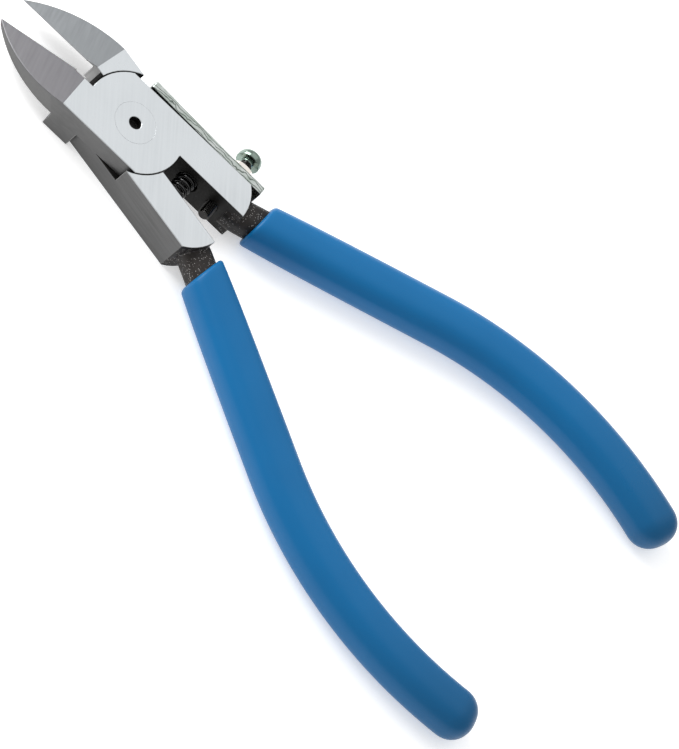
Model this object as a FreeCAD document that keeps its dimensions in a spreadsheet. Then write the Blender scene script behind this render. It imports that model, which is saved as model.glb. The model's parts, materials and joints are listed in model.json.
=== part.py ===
"""Flush cut pliers with a lap joint, a coil return spring, a stopper plate, a stop screw and dipped grips.

Frame: millimetres, +Z up. The origin is on the pivot axis at the back face, so the pliers lie on Z = 0.
The handles run along +X and the cutting tips along -X. Each lever is drawn as it lies when the pliers
are closed, and its placement then turns it about the pivot by half of the opening angle.
"""
import FreeCAD
import Part

import math
import os

import Sketcher

SIZES = (
    # body and lap joint
    ("body_thickness", 8.4),
    ("half_width", 8.25),
    ("disc_radius", 10.2),
    ("wall_clearance", 0.15),
    ("lap_clearance", 0.03),
    ("opening_angle", 12.2),
    # blades
    ("root_length", 1.9),
    ("blade_arc", 24.5),
    ("throat_relief", 0.6),
    ("edge_start", 2.15),
    ("edge_step", 0.2),
    ("edge_gap", 0.02),
    ("face_angle", 15.7),
    ("hollow_angle", 42),
    ("hollow_start", 0.65),
    ("blade_back", 3.7),
    ("tip_thickness", 0.65),
    # lever between the joint and the neck
    ("inner_face", 1.55),
    ("shoulder_length", 15.75),
    ("shoulder_arc", 9.7),
    # neck and tang
    ("neck_overlap", 2.7),
    ("neck_inward", 0.95),
    ("neck_step", 0.2),
    ("neck_bend", 10),
    ("splay_angle", 19.6),
    ("straight_run", 41.65),
    ("bow_radius", 82.6),
    ("bow_angle", 41.6),
    ("tang_depth", 5.6),
    ("tang_side_flat", 0.6),
    # dipped grips
    ("bare_neck", 3.2),
    ("grip_wall", 1.75),
    ("grip_inset", 0.2),
    ("grip_side_flat", 0.5),
    ("grip_end_wall", 3.0),
    ("grip_end_round", 1.8),
    # pivot rivet
    ("rivet_radius", 3.0),
    ("rivet_flare", 1.2),
    ("rivet_head_depth", 1.2),
    ("rivet_hole", 1.24),
    ("rivet_hole_depth", 1.6),
    ("pin_clearance", 0.03),
    # return spring
    ("spring_inset", 4.15),
    ("spring_radius", 1.7),
    ("wire_radius", 0.3),
    ("coil_count", 7.2),
    ("seat_clearance", 0.25),
    ("seat_depth", 1.6),
    ("spring_end_gap", 0.1),
    # stopper plate
    ("plate_overhang", 2.0),
    ("plate_end_inset", 0.2),
    ("plate_side_inset", 0.2),
    ("plate_foot", 9.0),
    ("plate_thickness", 1.7),
    ("plate_corner", 0.4),
    ("plate_clearance", 0.1),
    # stop screw and lock nut
    ("screw_inset", 5.2),
    ("screw_radius", 1.25),
    ("screw_tip_chamfer", 0.3),
    ("screw_stop_gap", 0.15),
    ("screw_clearance", 0.03),
    ("head_gap", 2.35),
    ("head_radius", 2.45),
    ("head_height", 2.1),
    ("head_rim", 0.7),
    ("head_dome", 1.8),
    ("recess_span", 2.6),
    ("recess_width", 0.55),
    ("recess_depth", 1.2),
    ("nut_flats", 5.0),
    ("nut_height", 2.0),
    ("nut_chamfer", 0.25),
)

# How far a cutting tool runs past the solid that it cuts.
PAST = "2"
# How far the blade runs back into the block behind it, so that the two are one solid.
OVERLAP = "1"
# Length of a cut, centred on its sketch, that goes right through a piece from side to side.
THROUGH = "4 * Sizes.half_width"
# Two coordinates closer than this are the same.
SAME = 0.001

# Places and sizes that several pieces share, worked out from the sheet.
MID = "Sizes.body_thickness / 2"
WALL_RADIUS = "(Sizes.disc_radius + Sizes.wall_clearance)"
BLADE_LINE = f"({WALL_RADIUS} + Sizes.root_length)"
EDGE_ROOT = f"({BLADE_LINE} + Sizes.edge_start)"
TIP = f"({BLADE_LINE} + sqrt(Sizes.blade_arc^2 - (Sizes.blade_arc - Sizes.half_width)^2))"
FACE_SLOPE = "tan(Sizes.face_angle * 1 deg)"
HOLLOW_SLOPE = "tan(Sizes.hollow_angle * 1 deg)"
SPLAY = "(Sizes.splay_angle * 1 deg)"
OPENING = "(Sizes.opening_angle * 1 deg)"
SHOULDER_END = f"({WALL_RADIUS} + Sizes.shoulder_length)"
SHOULDER_START = (
    f"({SHOULDER_END} - Sizes.shoulder_arc"
    " + sqrt(Sizes.shoulder_arc^2 - (Sizes.half_width - Sizes.inner_face)^2))"
)
NECK_START = f"({SHOULDER_END} - Sizes.neck_overlap)"
NECK_MIDDLE = "((Sizes.half_width + Sizes.inner_face) / 2 - Sizes.neck_inward)"
TANG_WIDTH = "(Sizes.half_width - Sizes.inner_face - 2 * Sizes.neck_step)"
TANG_CORNER = "(Sizes.tang_depth / 2 - Sizes.tang_side_flat)"
GRIP_START = f"({SHOULDER_END} + Sizes.bare_neck)"
GRIP_WIDTH = f"({TANG_WIDTH} + 2 * Sizes.grip_wall)"
GRIP_DEPTH = "(Sizes.body_thickness - 2 * Sizes.grip_inset)"
GRIP_CORNER = f"({GRIP_DEPTH} / 2 - Sizes.grip_side_flat)"
SPRING_PLACE = f"({WALL_RADIUS} + Sizes.spring_inset)"
SEAT_RADIUS = "(Sizes.spring_radius + Sizes.wire_radius + Sizes.seat_clearance)"
SEAT_FLOOR = "(Sizes.inner_face + Sizes.seat_depth)"
PLATE_END = f"({SHOULDER_END} - Sizes.plate_end_inset)"
PLATE_WIDTH = "(Sizes.body_thickness - 2 * Sizes.plate_side_inset)"
PLATE_TOP = "(Sizes.half_width + Sizes.plate_thickness)"
# How far the plate's free end stands off, so that the back lever's lap meets it when the pliers are open.
PLATE_RISE = (
    f"(Sizes.half_width / cos{OPENING} - Sizes.half_width"
    f" + Sizes.plate_overhang * tan{OPENING} + Sizes.plate_clearance)"
)
SCREW_PLACE = f"({PLATE_END} - Sizes.screw_inset)"
SCREW_HOLE = "(Sizes.screw_radius + Sizes.screw_clearance)"
SCREW_TIP = "(Sizes.screw_stop_gap - Sizes.inner_face)"
HEAD_SEAT = f"({PLATE_TOP} + Sizes.nut_height + Sizes.head_gap)"

doc = FreeCAD.newDocument("flush_cut_pliers")
sheet = doc.addObject("Spreadsheet::Sheet", "Sizes")
for row, (alias, size) in enumerate(SIZES, start=1):
    sheet.set(f"A{row}", alias)
    sheet.set(f"B{row}", str(size))
    sheet.setAlias(f"B{row}", alias)
doc.recompute()


def value(expression):
    """Return the number that an expression over the sheet gives."""
    result = sheet.evalExpression(expression)
    return float(getattr(result, "Value", result))


def across(expression, hand):
    """Return the expression for the side of the pliers given by hand, +1 or -1."""
    return expression if hand > 0 else f"-({expression})"


def on_circle(radius, offset):
    """Return the expression for the X of a circle's point at the given offset from the X axis."""
    return f"sqrt({radius}^2 - ({offset})^2)"


def new_body(name, turn=0):
    """Return a body turned about the pivot by half of the opening angle, towards +Y or -Y."""
    body = doc.addObject("PartDesign::Body", name)
    body.Label = name
    if turn:
        body.Placement = FreeCAD.Placement(FreeCAD.Vector(), FreeCAD.Vector(0, 0, 1), 1)
        body.setExpression("Placement.Rotation.Angle", across(f"{OPENING} / 2", turn))
    return body


def new_sketch(body, name, plane, offset="0"):
    """Return a sketch on one of the body's origin planes, moved along its normal."""
    sketch = body.newObject("Sketcher::SketchObject", name)
    support = next(item for item in body.Origin.OriginFeatures if item.Role == plane)
    sketch.AttachmentSupport = (support, [""])
    sketch.MapMode = "FlatFace"
    sketch.setExpression("AttachmentOffset.Base.z", offset)
    return sketch


def bind(sketch, kind, *where, expression):
    """Add one dimension to the sketch and tie it to the sheet."""
    index = sketch.addConstraint(Sketcher.Constraint(kind, *where, value(expression)))
    sketch.setExpression(f"Constraints[{index}]", expression)


def edge_between(start, end, radius=0.0, turn=0):
    """Return a straight edge, or an arc that turns counter-clockwise (+1) or clockwise (-1)."""
    if not radius:
        return Part.LineSegment(start, end)
    chord = end - start
    rise = math.sqrt(max(radius ** 2 - (chord.Length / 2) ** 2, 0))
    normal = FreeCAD.Vector(-chord.y, chord.x, 0).normalize()
    centre = start + chord * 0.5 + normal * rise * turn
    first, last = (start, end) if turn > 0 else (end, start)
    angles = [math.atan2(point.y - centre.y, point.x - centre.x) for point in (first, last)]
    circle = Part.Circle(centre, FreeCAD.Vector(0, 0, 1), radius)
    return Part.ArcOfCircle(circle, angles[0], angles[1])


def draw(sketch, corners, closed=True):
    """Draw edges through the corners and tie each one to the sheet.

    A corner is (x, y), or (x, y, radius, turn) where an arc leads to it from the corner before.
    """
    points = [FreeCAD.Vector(value(corner[0]), value(corner[1]), 0) for corner in corners]
    pairs = [(step, step + 1) for step in range(len(corners) - 1)]
    if closed:
        pairs.append((len(corners) - 1, 0))
    ends = []
    for begin, finish in pairs:
        arc = corners[finish][2:]
        radius = value(arc[0]) if arc else 0.0
        turn = arc[1] if arc else 0
        edge = sketch.addGeometry(edge_between(points[begin], points[finish], radius, turn))
        ends.append((edge, 2, 1) if turn < 0 else (edge, 1, 2))
        if arc:
            bind(sketch, "Radius", edge, expression=arc[0])
    for step, (edge, first, _) in enumerate(ends):
        corner = corners[pairs[step][0]]
        bind(sketch, "DistanceX", -1, 1, edge, first, expression=corner[0])
        bind(sketch, "DistanceY", -1, 1, edge, first, expression=corner[1])
        if step:
            before, _, last = ends[step - 1]
            sketch.addConstraint(Sketcher.Constraint("Coincident", before, last, edge, first))
    edge, _, last = ends[-1]
    if closed:
        sketch.addConstraint(Sketcher.Constraint("Coincident", edge, last, ends[0][0], ends[0][1]))
    else:
        bind(sketch, "DistanceX", -1, 1, edge, last, expression=corners[-1][0])
        bind(sketch, "DistanceY", -1, 1, edge, last, expression=corners[-1][1])
    return sketch


def draw_circle(sketch, x, y, radius):
    """Draw one circle and tie its centre and radius to the sheet."""
    centre = FreeCAD.Vector(value(x), value(y), 0)
    edge = sketch.addGeometry(Part.Circle(centre, FreeCAD.Vector(0, 0, 1), value(radius)))
    bind(sketch, "Radius", edge, expression=radius)
    bind(sketch, "DistanceX", -1, 1, edge, 3, expression=x)
    bind(sketch, "DistanceY", -1, 1, edge, 3, expression=y)
    return sketch


def draw_rounded(sketch, x, y, width, depth, corner):
    """Draw a rectangle with round corners about the point x, y."""
    left, right = f"{x} - {width} / 2", f"{x} + {width} / 2"
    low, high = f"{y} - {depth} / 2", f"{y} + {depth} / 2"
    return draw(sketch, [
        (f"{left} + {corner}", low, corner, 1),
        (f"{right} - {corner}", low),
        (right, f"{low} + {corner}", corner, 1),
        (right, f"{high} - {corner}"),
        (f"{right} - {corner}", high, corner, 1),
        (f"{left} + {corner}", high),
        (left, f"{high} - {corner}", corner, 1),
        (left, f"{low} + {corner}"),
    ])


def pad(body, sketch, length, reverse=False):
    """Extrude a sketch along its normal, or against it."""
    feature = body.newObject("PartDesign::Pad", f"{sketch.Name}_pad")
    feature.Profile = sketch
    feature.setExpression("Length", length)
    feature.Reversed = reverse
    return feature


def pocket(body, sketch, length, reverse=False, midplane=False):
    """Cut a sketch's outline against its normal, along it, or both ways."""
    feature = body.newObject("PartDesign::Pocket", f"{sketch.Name}_cut")
    feature.Profile = sketch
    feature.setExpression("Length", length)
    feature.Reversed = reverse
    feature.Midplane = midplane
    return feature


def revolve(body, sketch, kind, axis_x=None):
    """Turn a sketch once about its vertical axis, or about an upright line at axis_x."""
    axis = "V_Axis"
    if axis_x:
        ends = [FreeCAD.Vector(value(axis_x), height, 0) for height in (0, 1)]
        line = sketch.addGeometry(Part.LineSegment(*ends), True)
        bind(sketch, "DistanceX", -1, 1, line, 1, expression=axis_x)
        bind(sketch, "DistanceX", -1, 1, line, 2, expression=axis_x)
        axis = "Axis0"
    feature = body.newObject(kind, f"{sketch.Name}_turned")
    feature.Profile = sketch
    feature.ReferenceAxis = (sketch, [axis])
    feature.Angle = 360
    return feature


def fillet(body, name, parts, radius):
    """Round the named edges, or all edges of the named faces, of what the body holds so far."""
    base = body.Tip
    rounding = body.newObject("PartDesign::Fillet", name)
    rounding.Base = (base, parts)
    rounding.setExpression("Radius", radius)
    return rounding


def handle_path(body, name, hand, short="0"):
    """Sketch the handle's centreline: a bend at the neck, a straight run and a long bow."""
    bend_x = f"({NECK_START} + Sizes.neck_bend * sin{SPLAY})"
    bend_y = f"({NECK_MIDDLE} + Sizes.neck_bend * (1 - cos{SPLAY}))"
    bow_x = f"({bend_x} + Sizes.straight_run * cos{SPLAY})"
    bow_y = f"({bend_y} + Sizes.straight_run * sin{SPLAY})"
    last = f"({SPLAY} - Sizes.bow_angle * 1 deg + {short} / Sizes.bow_radius * 1 rad)"
    end_x = f"({bow_x} + Sizes.bow_radius * (sin{SPLAY} - sin{last}))"
    end_y = f"({bow_y} + Sizes.bow_radius * (cos{last} - cos{SPLAY}))"
    sketch = new_sketch(body, name, "XY_Plane", MID)
    return draw(sketch, [
        (NECK_START, across(NECK_MIDDLE, hand)),
        (bend_x, across(bend_y, hand), "Sizes.neck_bend", hand),
        (bow_x, across(bow_y, hand)),
        (end_x, across(end_y, hand), "Sizes.bow_radius", -hand),
    ], closed=False)


def sweep_handle(body, name, hand, width, depth, corner, kind, short="0"):
    """Sweep a rounded section along the handle's centreline."""
    section = new_sketch(body, f"{name}_section", "YZ_Plane", NECK_START)
    draw_rounded(section, across(NECK_MIDDLE, hand), MID, width, depth, corner)
    path = handle_path(body, f"{name}_path", hand, short)
    feature = body.newObject(kind, name)
    feature.Profile = section
    feature.Spine = (path, [f"Edge{number + 1}" for number in range(path.GeometryCount)])
    return feature


def lap_outline(sketch, hand):
    """Draw the half-thickness lap: disc, blade root and lever seen from the front."""
    disc = "Sizes.disc_radius"
    width = "Sizes.half_width"
    side_x = on_circle(disc, width)
    relief_x = on_circle(disc, "Sizes.throat_relief")
    inner_x = on_circle(disc, "Sizes.inner_face")
    return draw(sketch, [
        (f"-{BLADE_LINE}", across("-Sizes.throat_relief", hand)),
        (f"-{relief_x}", across("-Sizes.throat_relief", hand)),
        (f"-{side_x}", across(width, hand), disc, -hand),
        (SHOULDER_START, across(width, hand)),
        (SHOULDER_END, across("Sizes.inner_face", hand), "Sizes.shoulder_arc", -hand),
        (inner_x, across("Sizes.inner_face", hand)),
        (side_x, across(f"-{width}", hand), disc, -hand),
        (f"-{BLADE_LINE}", across(f"-{width}", hand)),
    ])


def root_outline(sketch, hand):
    """Draw the full-thickness block behind the blade, hollowed round the other lever's disc."""
    width = "Sizes.half_width"
    return draw(sketch, [
        (f"-{on_circle(WALL_RADIUS, 'Sizes.throat_relief')}", across("-Sizes.throat_relief", hand),
         WALL_RADIUS, -hand),
        (f"-{BLADE_LINE}", across("-Sizes.throat_relief", hand)),
        (f"-{BLADE_LINE}", across(f"-{width}", hand)),
        (f"-{on_circle(WALL_RADIUS, width)}", across(f"-{width}", hand)),
    ])


def shoulder_outline(sketch, hand):
    """Draw the full-thickness lever block between the joint and the neck."""
    width = "Sizes.half_width"
    return draw(sketch, [
        (on_circle(WALL_RADIUS, "Sizes.inner_face"), across("Sizes.inner_face", hand)),
        (on_circle(WALL_RADIUS, width), across(width, hand), WALL_RADIUS, hand),
        (SHOULDER_START, across(width, hand)),
        (SHOULDER_END, across("Sizes.inner_face", hand), "Sizes.shoulder_arc", -hand),
    ])


def blade_outline(sketch, hand):
    """Draw the blade from the front: a straight cutting edge and one outer arc to the tip."""
    edge = across("-Sizes.edge_gap", hand)
    return draw(sketch, [
        (f"-{BLADE_LINE}", across("-Sizes.half_width", hand), "Sizes.blade_arc", hand),
        (f"-{BLADE_LINE} + {OVERLAP}", across("-Sizes.half_width", hand)),
        (f"-{BLADE_LINE} + {OVERLAP}", across("-Sizes.throat_relief", hand)),
        (f"-{BLADE_LINE}", across("-Sizes.throat_relief", hand)),
        (f"-{EDGE_ROOT}", across("-Sizes.edge_step", hand)),
        (f"-{EDGE_ROOT}", edge),
        (f"-{TIP}", edge),
    ])


def face_height(reach):
    """Return the height of the flush face at a distance from the pivot."""
    return f"(Sizes.body_thickness - ({reach} - {BLADE_LINE}) * {FACE_SLOPE})"


def grind_blade(body, hand):
    """Cut the flush face, the thinner back and the hollow behind the cutting edge."""
    past_tip = f"({TIP} + {PAST})"
    face = new_sketch(body, f"{body.Name}_flush_face", "XZ_Plane")
    draw(face, [
        (f"-{BLADE_LINE}", "Sizes.body_thickness"),
        (f"-{past_tip}", face_height(past_tip)),
        (f"-{past_tip}", f"Sizes.body_thickness + {PAST}"),
        (f"-{BLADE_LINE}", f"Sizes.body_thickness + {PAST}"),
    ])
    pocket(body, face, THROUGH, midplane=True)
    tip_back = f"({face_height(TIP)} - Sizes.tip_thickness)"
    back_slope = f"(Sizes.blade_back - {tip_back}) / ({TIP} - {BLADE_LINE})"
    back = new_sketch(body, f"{body.Name}_blade_back", "XZ_Plane")
    draw(back, [
        (f"-{BLADE_LINE}", "Sizes.blade_back"),
        (f"-{BLADE_LINE}", f"-{PAST}"),
        (f"-{past_tip}", f"-{PAST}"),
        (f"-{past_tip}", f"Sizes.blade_back - ({past_tip} - {BLADE_LINE}) * {back_slope}"),
    ])
    pocket(body, back, THROUGH, midplane=True)
    sections = []
    for place, reach in (("root", f"({BLADE_LINE} + Sizes.hollow_start)"), ("tip", past_tip)):
        section = new_sketch(body, f"{body.Name}_hollow_{place}", "YZ_Plane", f"-{reach}")
        top = face_height(reach)
        draw(section, [
            (across("-Sizes.edge_gap", hand), top),
            (across(f"-Sizes.edge_gap - ({top} + {PAST}) * {HOLLOW_SLOPE}", hand), f"-{PAST}"),
            (across(PAST, hand), f"-{PAST}"),
            (across(PAST, hand), top),
        ])
        sections.append(section)
    hollow = body.newObject("PartDesign::SubtractiveLoft", f"{body.Name}_hollow")
    hollow.Profile = sections[0]
    hollow.Sections = sections[1:]
    hollow.Ruled = True


def bore_pivot(body, on_top):
    """Cut the rivet's countersunk hole: a running fit in the top lap and a tight one in the other."""
    gap = "Sizes.pin_clearance" if on_top else "0"
    shank = f"(Sizes.rivet_radius + {gap})"
    head = f"(Sizes.rivet_radius + Sizes.rivet_flare + {gap})"
    sketch = new_sketch(body, f"{body.Name}_pivot", "XZ_Plane")
    top = f"Sizes.body_thickness + {PAST}"
    if on_top:
        corners = [
            ("0", f"-{PAST}"),
            (shank, f"-{PAST}"),
            (shank, "Sizes.body_thickness - Sizes.rivet_head_depth"),
            (head, "Sizes.body_thickness"),
            (head, top),
            ("0", top),
        ]
    else:
        corners = [
            ("0", f"-{PAST}"),
            (head, f"-{PAST}"),
            (head, "0"),
            (shank, "Sizes.rivet_head_depth"),
            (shank, top),
            ("0", top),
        ]
    draw(sketch, corners)
    revolve(body, sketch, "PartDesign::Groove")


def make_lever(name, hand, on_top):
    """Forge and grind one lever; hand is the side of its handle, and its blade is on the other."""
    body = new_body(name, turn=hand)
    lap_base = f"{MID} + Sizes.lap_clearance / 2" if on_top else "0"
    lap = new_sketch(body, f"{name}_lap", "XY_Plane", lap_base)
    lap_outline(lap, hand)
    pad(body, lap, f"{MID} - Sizes.lap_clearance / 2")
    for block, outline in (("root", root_outline), ("shoulder", shoulder_outline)):
        sketch = new_sketch(body, f"{name}_{block}", "XY_Plane")
        outline(sketch, hand)
        pad(body, sketch, "Sizes.body_thickness")
    blade = new_sketch(body, f"{name}_blade", "XY_Plane")
    blade_outline(blade, hand)
    pad(body, blade, "Sizes.body_thickness")
    sweep_handle(body, f"{name}_tang", hand, TANG_WIDTH, "Sizes.tang_depth",
                 TANG_CORNER, "PartDesign::AdditivePipe", "Sizes.grip_end_wall")
    grind_blade(body, hand)
    bore_pivot(body, on_top)
    seat = new_sketch(body, f"{name}_seat", "XZ_Plane", across("-Sizes.inner_face", hand))
    draw_circle(seat, SPRING_PLACE, MID, SEAT_RADIUS)
    pocket(body, seat, "Sizes.seat_depth", reverse=hand < 0)
    return body


def make_front_lever():
    """Make the lever that carries the stop screw and the stopper plate."""
    body = make_lever("front_lever", 1, on_top=True)
    hole = new_sketch(body, "stop_screw_hole", "XZ_Plane", "-Sizes.half_width")
    draw_circle(hole, SCREW_PLACE, MID, SCREW_HOLE)
    pocket(body, hole, THROUGH, midplane=True)
    return body


def make_grip(name, hand):
    """Make the dipped sleeve round one handle: a closed end, open at the neck."""
    body = new_body(name, turn=hand)
    sweep_handle(body, f"{name}_skin", hand, GRIP_WIDTH, GRIP_DEPTH,
                 GRIP_CORNER, "PartDesign::AdditivePipe")
    doc.recompute()
    skin = body.Tip.Shape
    end_face = max(range(len(skin.Faces)), key=lambda index: skin.Faces[index].CenterOfMass.x)
    fillet(body, f"{name}_end_round", [f"Face{end_face + 1}"], "Sizes.grip_end_round")
    sweep_handle(body, f"{name}_bore", hand, TANG_WIDTH, "Sizes.tang_depth",
                 TANG_CORNER, "PartDesign::SubtractivePipe", "Sizes.grip_end_wall")
    mouth = new_sketch(body, f"{name}_mouth", "YZ_Plane", GRIP_START)
    draw_circle(mouth, "0", MID, THROUGH)
    pocket(body, mouth, GRIP_START)
    return body


def make_rivet():
    """Make the pivot rivet, ground flush on both faces, with a centre hole in front."""
    body = new_body("pivot_rivet")
    sketch = new_sketch(body, "rivet_profile", "XZ_Plane")
    top = "Sizes.body_thickness"
    head = "Sizes.rivet_radius + Sizes.rivet_flare"
    draw(sketch, [
        ("0", "0"),
        (head, "0"),
        ("Sizes.rivet_radius", "Sizes.rivet_head_depth"),
        ("Sizes.rivet_radius", f"{top} - Sizes.rivet_head_depth"),
        (head, top),
        ("Sizes.rivet_hole", top),
        ("Sizes.rivet_hole", f"{top} - Sizes.rivet_hole_depth"),
        ("0", f"{top} - Sizes.rivet_hole_depth"),
    ])
    revolve(body, sketch, "PartDesign::Revolution")
    return body


def make_spring():
    """Make the return spring, which stands across the gap with both ends in the levers' seats."""
    half = f"({OPENING} / 2)"
    middle = f"({SPRING_PLACE} * cos{half} - (Sizes.inner_face + Sizes.seat_depth / 2) * sin{half})"
    floor = f"({SEAT_FLOOR} / cos{half} + {middle} * tan{half})"
    half_gap = (
        f"({floor} - (Sizes.spring_radius + Sizes.wire_radius) * tan{half}"
        " - Sizes.wire_radius - Sizes.spring_end_gap)"
    )
    coil = doc.addObject("Part::Helix", "spring_coil")
    coil.setExpression("Radius", "Sizes.spring_radius")
    coil.setExpression("Height", f"2 * {half_gap}")
    coil.setExpression("Pitch", f"2 * {half_gap} / Sizes.coil_count")
    wire = doc.addObject("Part::Circle", "spring_wire")
    wire.setExpression("Radius", "Sizes.wire_radius")
    wire.Placement = FreeCAD.Placement(FreeCAD.Vector(), FreeCAD.Vector(1, 0, 0), 90)
    wire.setExpression("Placement.Base.x", "Sizes.spring_radius")
    spring = doc.addObject("Part::Sweep", "return_spring")
    spring.Label = "return_spring"
    spring.Sections = [wire]
    spring.Spine = (coil, [])
    spring.Solid = True
    spring.Frenet = True
    spring.Placement = FreeCAD.Placement(FreeCAD.Vector(), FreeCAD.Vector(1, 0, 0), -90)
    spring.setExpression("Placement.Base.x", middle)
    spring.setExpression("Placement.Base.y", f"-{half_gap}")
    spring.setExpression("Placement.Base.z", MID)
    return spring


def make_plate():
    """Make the stopper plate: a foot under the nut and an arm that stands off at the pivot end."""
    body = new_body("stopper_plate", turn=1)
    sketch = new_sketch(body, "plate_side", "XY_Plane", "Sizes.plate_side_inset")
    bend = f"{PLATE_END} - Sizes.plate_foot"
    inner = "Sizes.half_width"
    draw(sketch, [
        (PLATE_END, inner),
        (PLATE_END, PLATE_TOP),
        (bend, PLATE_TOP),
        ("-Sizes.plate_overhang", f"{PLATE_TOP} + {PLATE_RISE}"),
        ("-Sizes.plate_overhang", f"{inner} + {PLATE_RISE}"),
        (bend, inner),
    ])
    pad(body, sketch, PLATE_WIDTH)
    doc.recompute()
    corners = [
        f"Edge{number}" for number, edge in enumerate(body.Tip.Shape.Edges, start=1)
        if abs(edge.Vertexes[0].X - edge.Vertexes[1].X) < SAME
        and abs(edge.Vertexes[0].Z - edge.Vertexes[1].Z) < SAME
    ]
    fillet(body, "plate_corners", corners, "Sizes.plate_corner")
    hole = new_sketch(body, "plate_hole", "XZ_Plane", "-Sizes.half_width")
    draw_circle(hole, SCREW_PLACE, MID, SCREW_HOLE)
    pocket(body, hole, THROUGH, midplane=True)
    return body


def make_screw():
    """Make the stop screw: a pan head with a cross recess and a chamfered shank."""
    body = new_body("stop_screw", turn=1)
    sketch = new_sketch(body, "screw_profile", "XY_Plane", MID)
    rim = f"({HEAD_SEAT} + Sizes.head_rim)"
    top = f"({HEAD_SEAT} + Sizes.head_height)"
    flat = "Sizes.recess_span / 2"
    middle = SCREW_PLACE
    draw(sketch, [
        (middle, SCREW_TIP),
        (f"{middle} + Sizes.screw_radius - Sizes.screw_tip_chamfer", SCREW_TIP),
        (f"{middle} + Sizes.screw_radius", f"{SCREW_TIP} + Sizes.screw_tip_chamfer"),
        (f"{middle} + Sizes.screw_radius", HEAD_SEAT),
        (f"{middle} + Sizes.head_radius", HEAD_SEAT),
        (f"{middle} + Sizes.head_radius", rim),
        (f"{middle} + {flat}", top, "Sizes.head_dome", 1),
        (middle, top),
    ])
    revolve(body, sketch, "PartDesign::Revolution", axis_x=middle)
    arms = (("Sizes.recess_span", "Sizes.recess_width"), ("Sizes.recess_width", "Sizes.recess_span"))
    for number, (span, width) in enumerate(arms):
        slot = new_sketch(body, f"screw_recess_{number}", "XZ_Plane", f"-{top}")
        across_x, across_z = f"{span} / 2", f"{width} / 2"
        draw(slot, [
            (f"{middle} - {across_x}", f"{MID} - {across_z}"),
            (f"{middle} + {across_x}", f"{MID} - {across_z}"),
            (f"{middle} + {across_x}", f"{MID} + {across_z}"),
            (f"{middle} - {across_x}", f"{MID} + {across_z}"),
        ])
        pocket(body, slot, "Sizes.recess_depth", reverse=True)
    return body


def make_nut():
    """Make the hexagon lock nut with chamfered corners, seated on the plate."""
    body = new_body("lock_nut", turn=1)
    sketch = new_sketch(body, "nut_hexagon", "XZ_Plane", f"-{PLATE_TOP}")
    reach = "(Sizes.nut_flats / sqrt(3))"
    half = "(Sizes.nut_flats / 2)"
    middle = SCREW_PLACE
    draw(sketch, [
        (f"{middle} - {reach} / 2", f"{MID} - {half}"),
        (f"{middle} + {reach} / 2", f"{MID} - {half}"),
        (f"{middle} + {reach}", MID),
        (f"{middle} + {reach} / 2", f"{MID} + {half}"),
        (f"{middle} - {reach} / 2", f"{MID} + {half}"),
        (f"{middle} - {reach}", MID),
    ])
    pad(body, sketch, "Sizes.nut_height", reverse=True)
    hole = new_sketch(body, "nut_hole", "XZ_Plane", f"-{PLATE_TOP}")
    draw_circle(hole, middle, MID, SCREW_HOLE)
    pocket(body, hole, THROUGH, midplane=True)
    chamfer = new_sketch(body, "nut_chamfer_profile", "XY_Plane", MID)
    top = f"({PLATE_TOP} + Sizes.nut_height)"
    draw(chamfer, [
        (f"{middle} + {half}", top),
        (f"{middle} + {reach}", f"{top} - Sizes.nut_chamfer"),
        (f"{middle} + {reach} + {PAST}", f"{top} - Sizes.nut_chamfer"),
        (f"{middle} + {reach} + {PAST}", f"{top} + {PAST}"),
        (f"{middle} + {half}", f"{top} + {PAST}"),
    ])
    revolve(body, chamfer, "PartDesign::Groove", axis_x=middle)
    return body


def export(pieces):
    """Check every object and write each piece to its own file."""
    doc.recompute()
    for item in doc.Objects:
        if "Invalid" in item.State or "Error" in item.State:
            raise RuntimeError(f"{item.Name} failed: {item.State}")
    for piece in pieces:
        if piece.Shape.isNull() or not piece.Shape.isValid():
            raise RuntimeError(f"{piece.Label} has no valid shape")
        if len(piece.Shape.Solids) != 1:
            raise RuntimeError(f"{piece.Label} has {len(piece.Shape.Solids)} solids")
    os.makedirs("parts", exist_ok=True)
    for piece in pieces:
        piece.Shape.exportStep(os.path.join("parts", f"{piece.Label}.step"))
        print(f"{piece.Label}: {piece.Shape.Volume:.1f} mm3")


export([
    make_front_lever(),
    make_lever("back_lever", -1, on_top=False),
    make_rivet(),
    make_spring(),
    make_plate(),
    make_screw(),
    make_nut(),
    make_grip("front_grip", 1),
    make_grip("back_grip", -1),
])
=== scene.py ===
"""The looks of a pair of flush cut pliers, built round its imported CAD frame.

Everything is in metres, in the frame of the CAD parts: +Z up, the pivot axis at the origin, the handles
towards +X and the cutting tips towards -X. The forged levers, the rivet and the stopper plate take their
shape from the CAD parts and get eased edges; the grips, spring, screw and nut are built here.
"""
import json
import logging
import math
from collections.abc import Callable, Sequence
from dataclasses import dataclass
from enum import Enum

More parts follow.
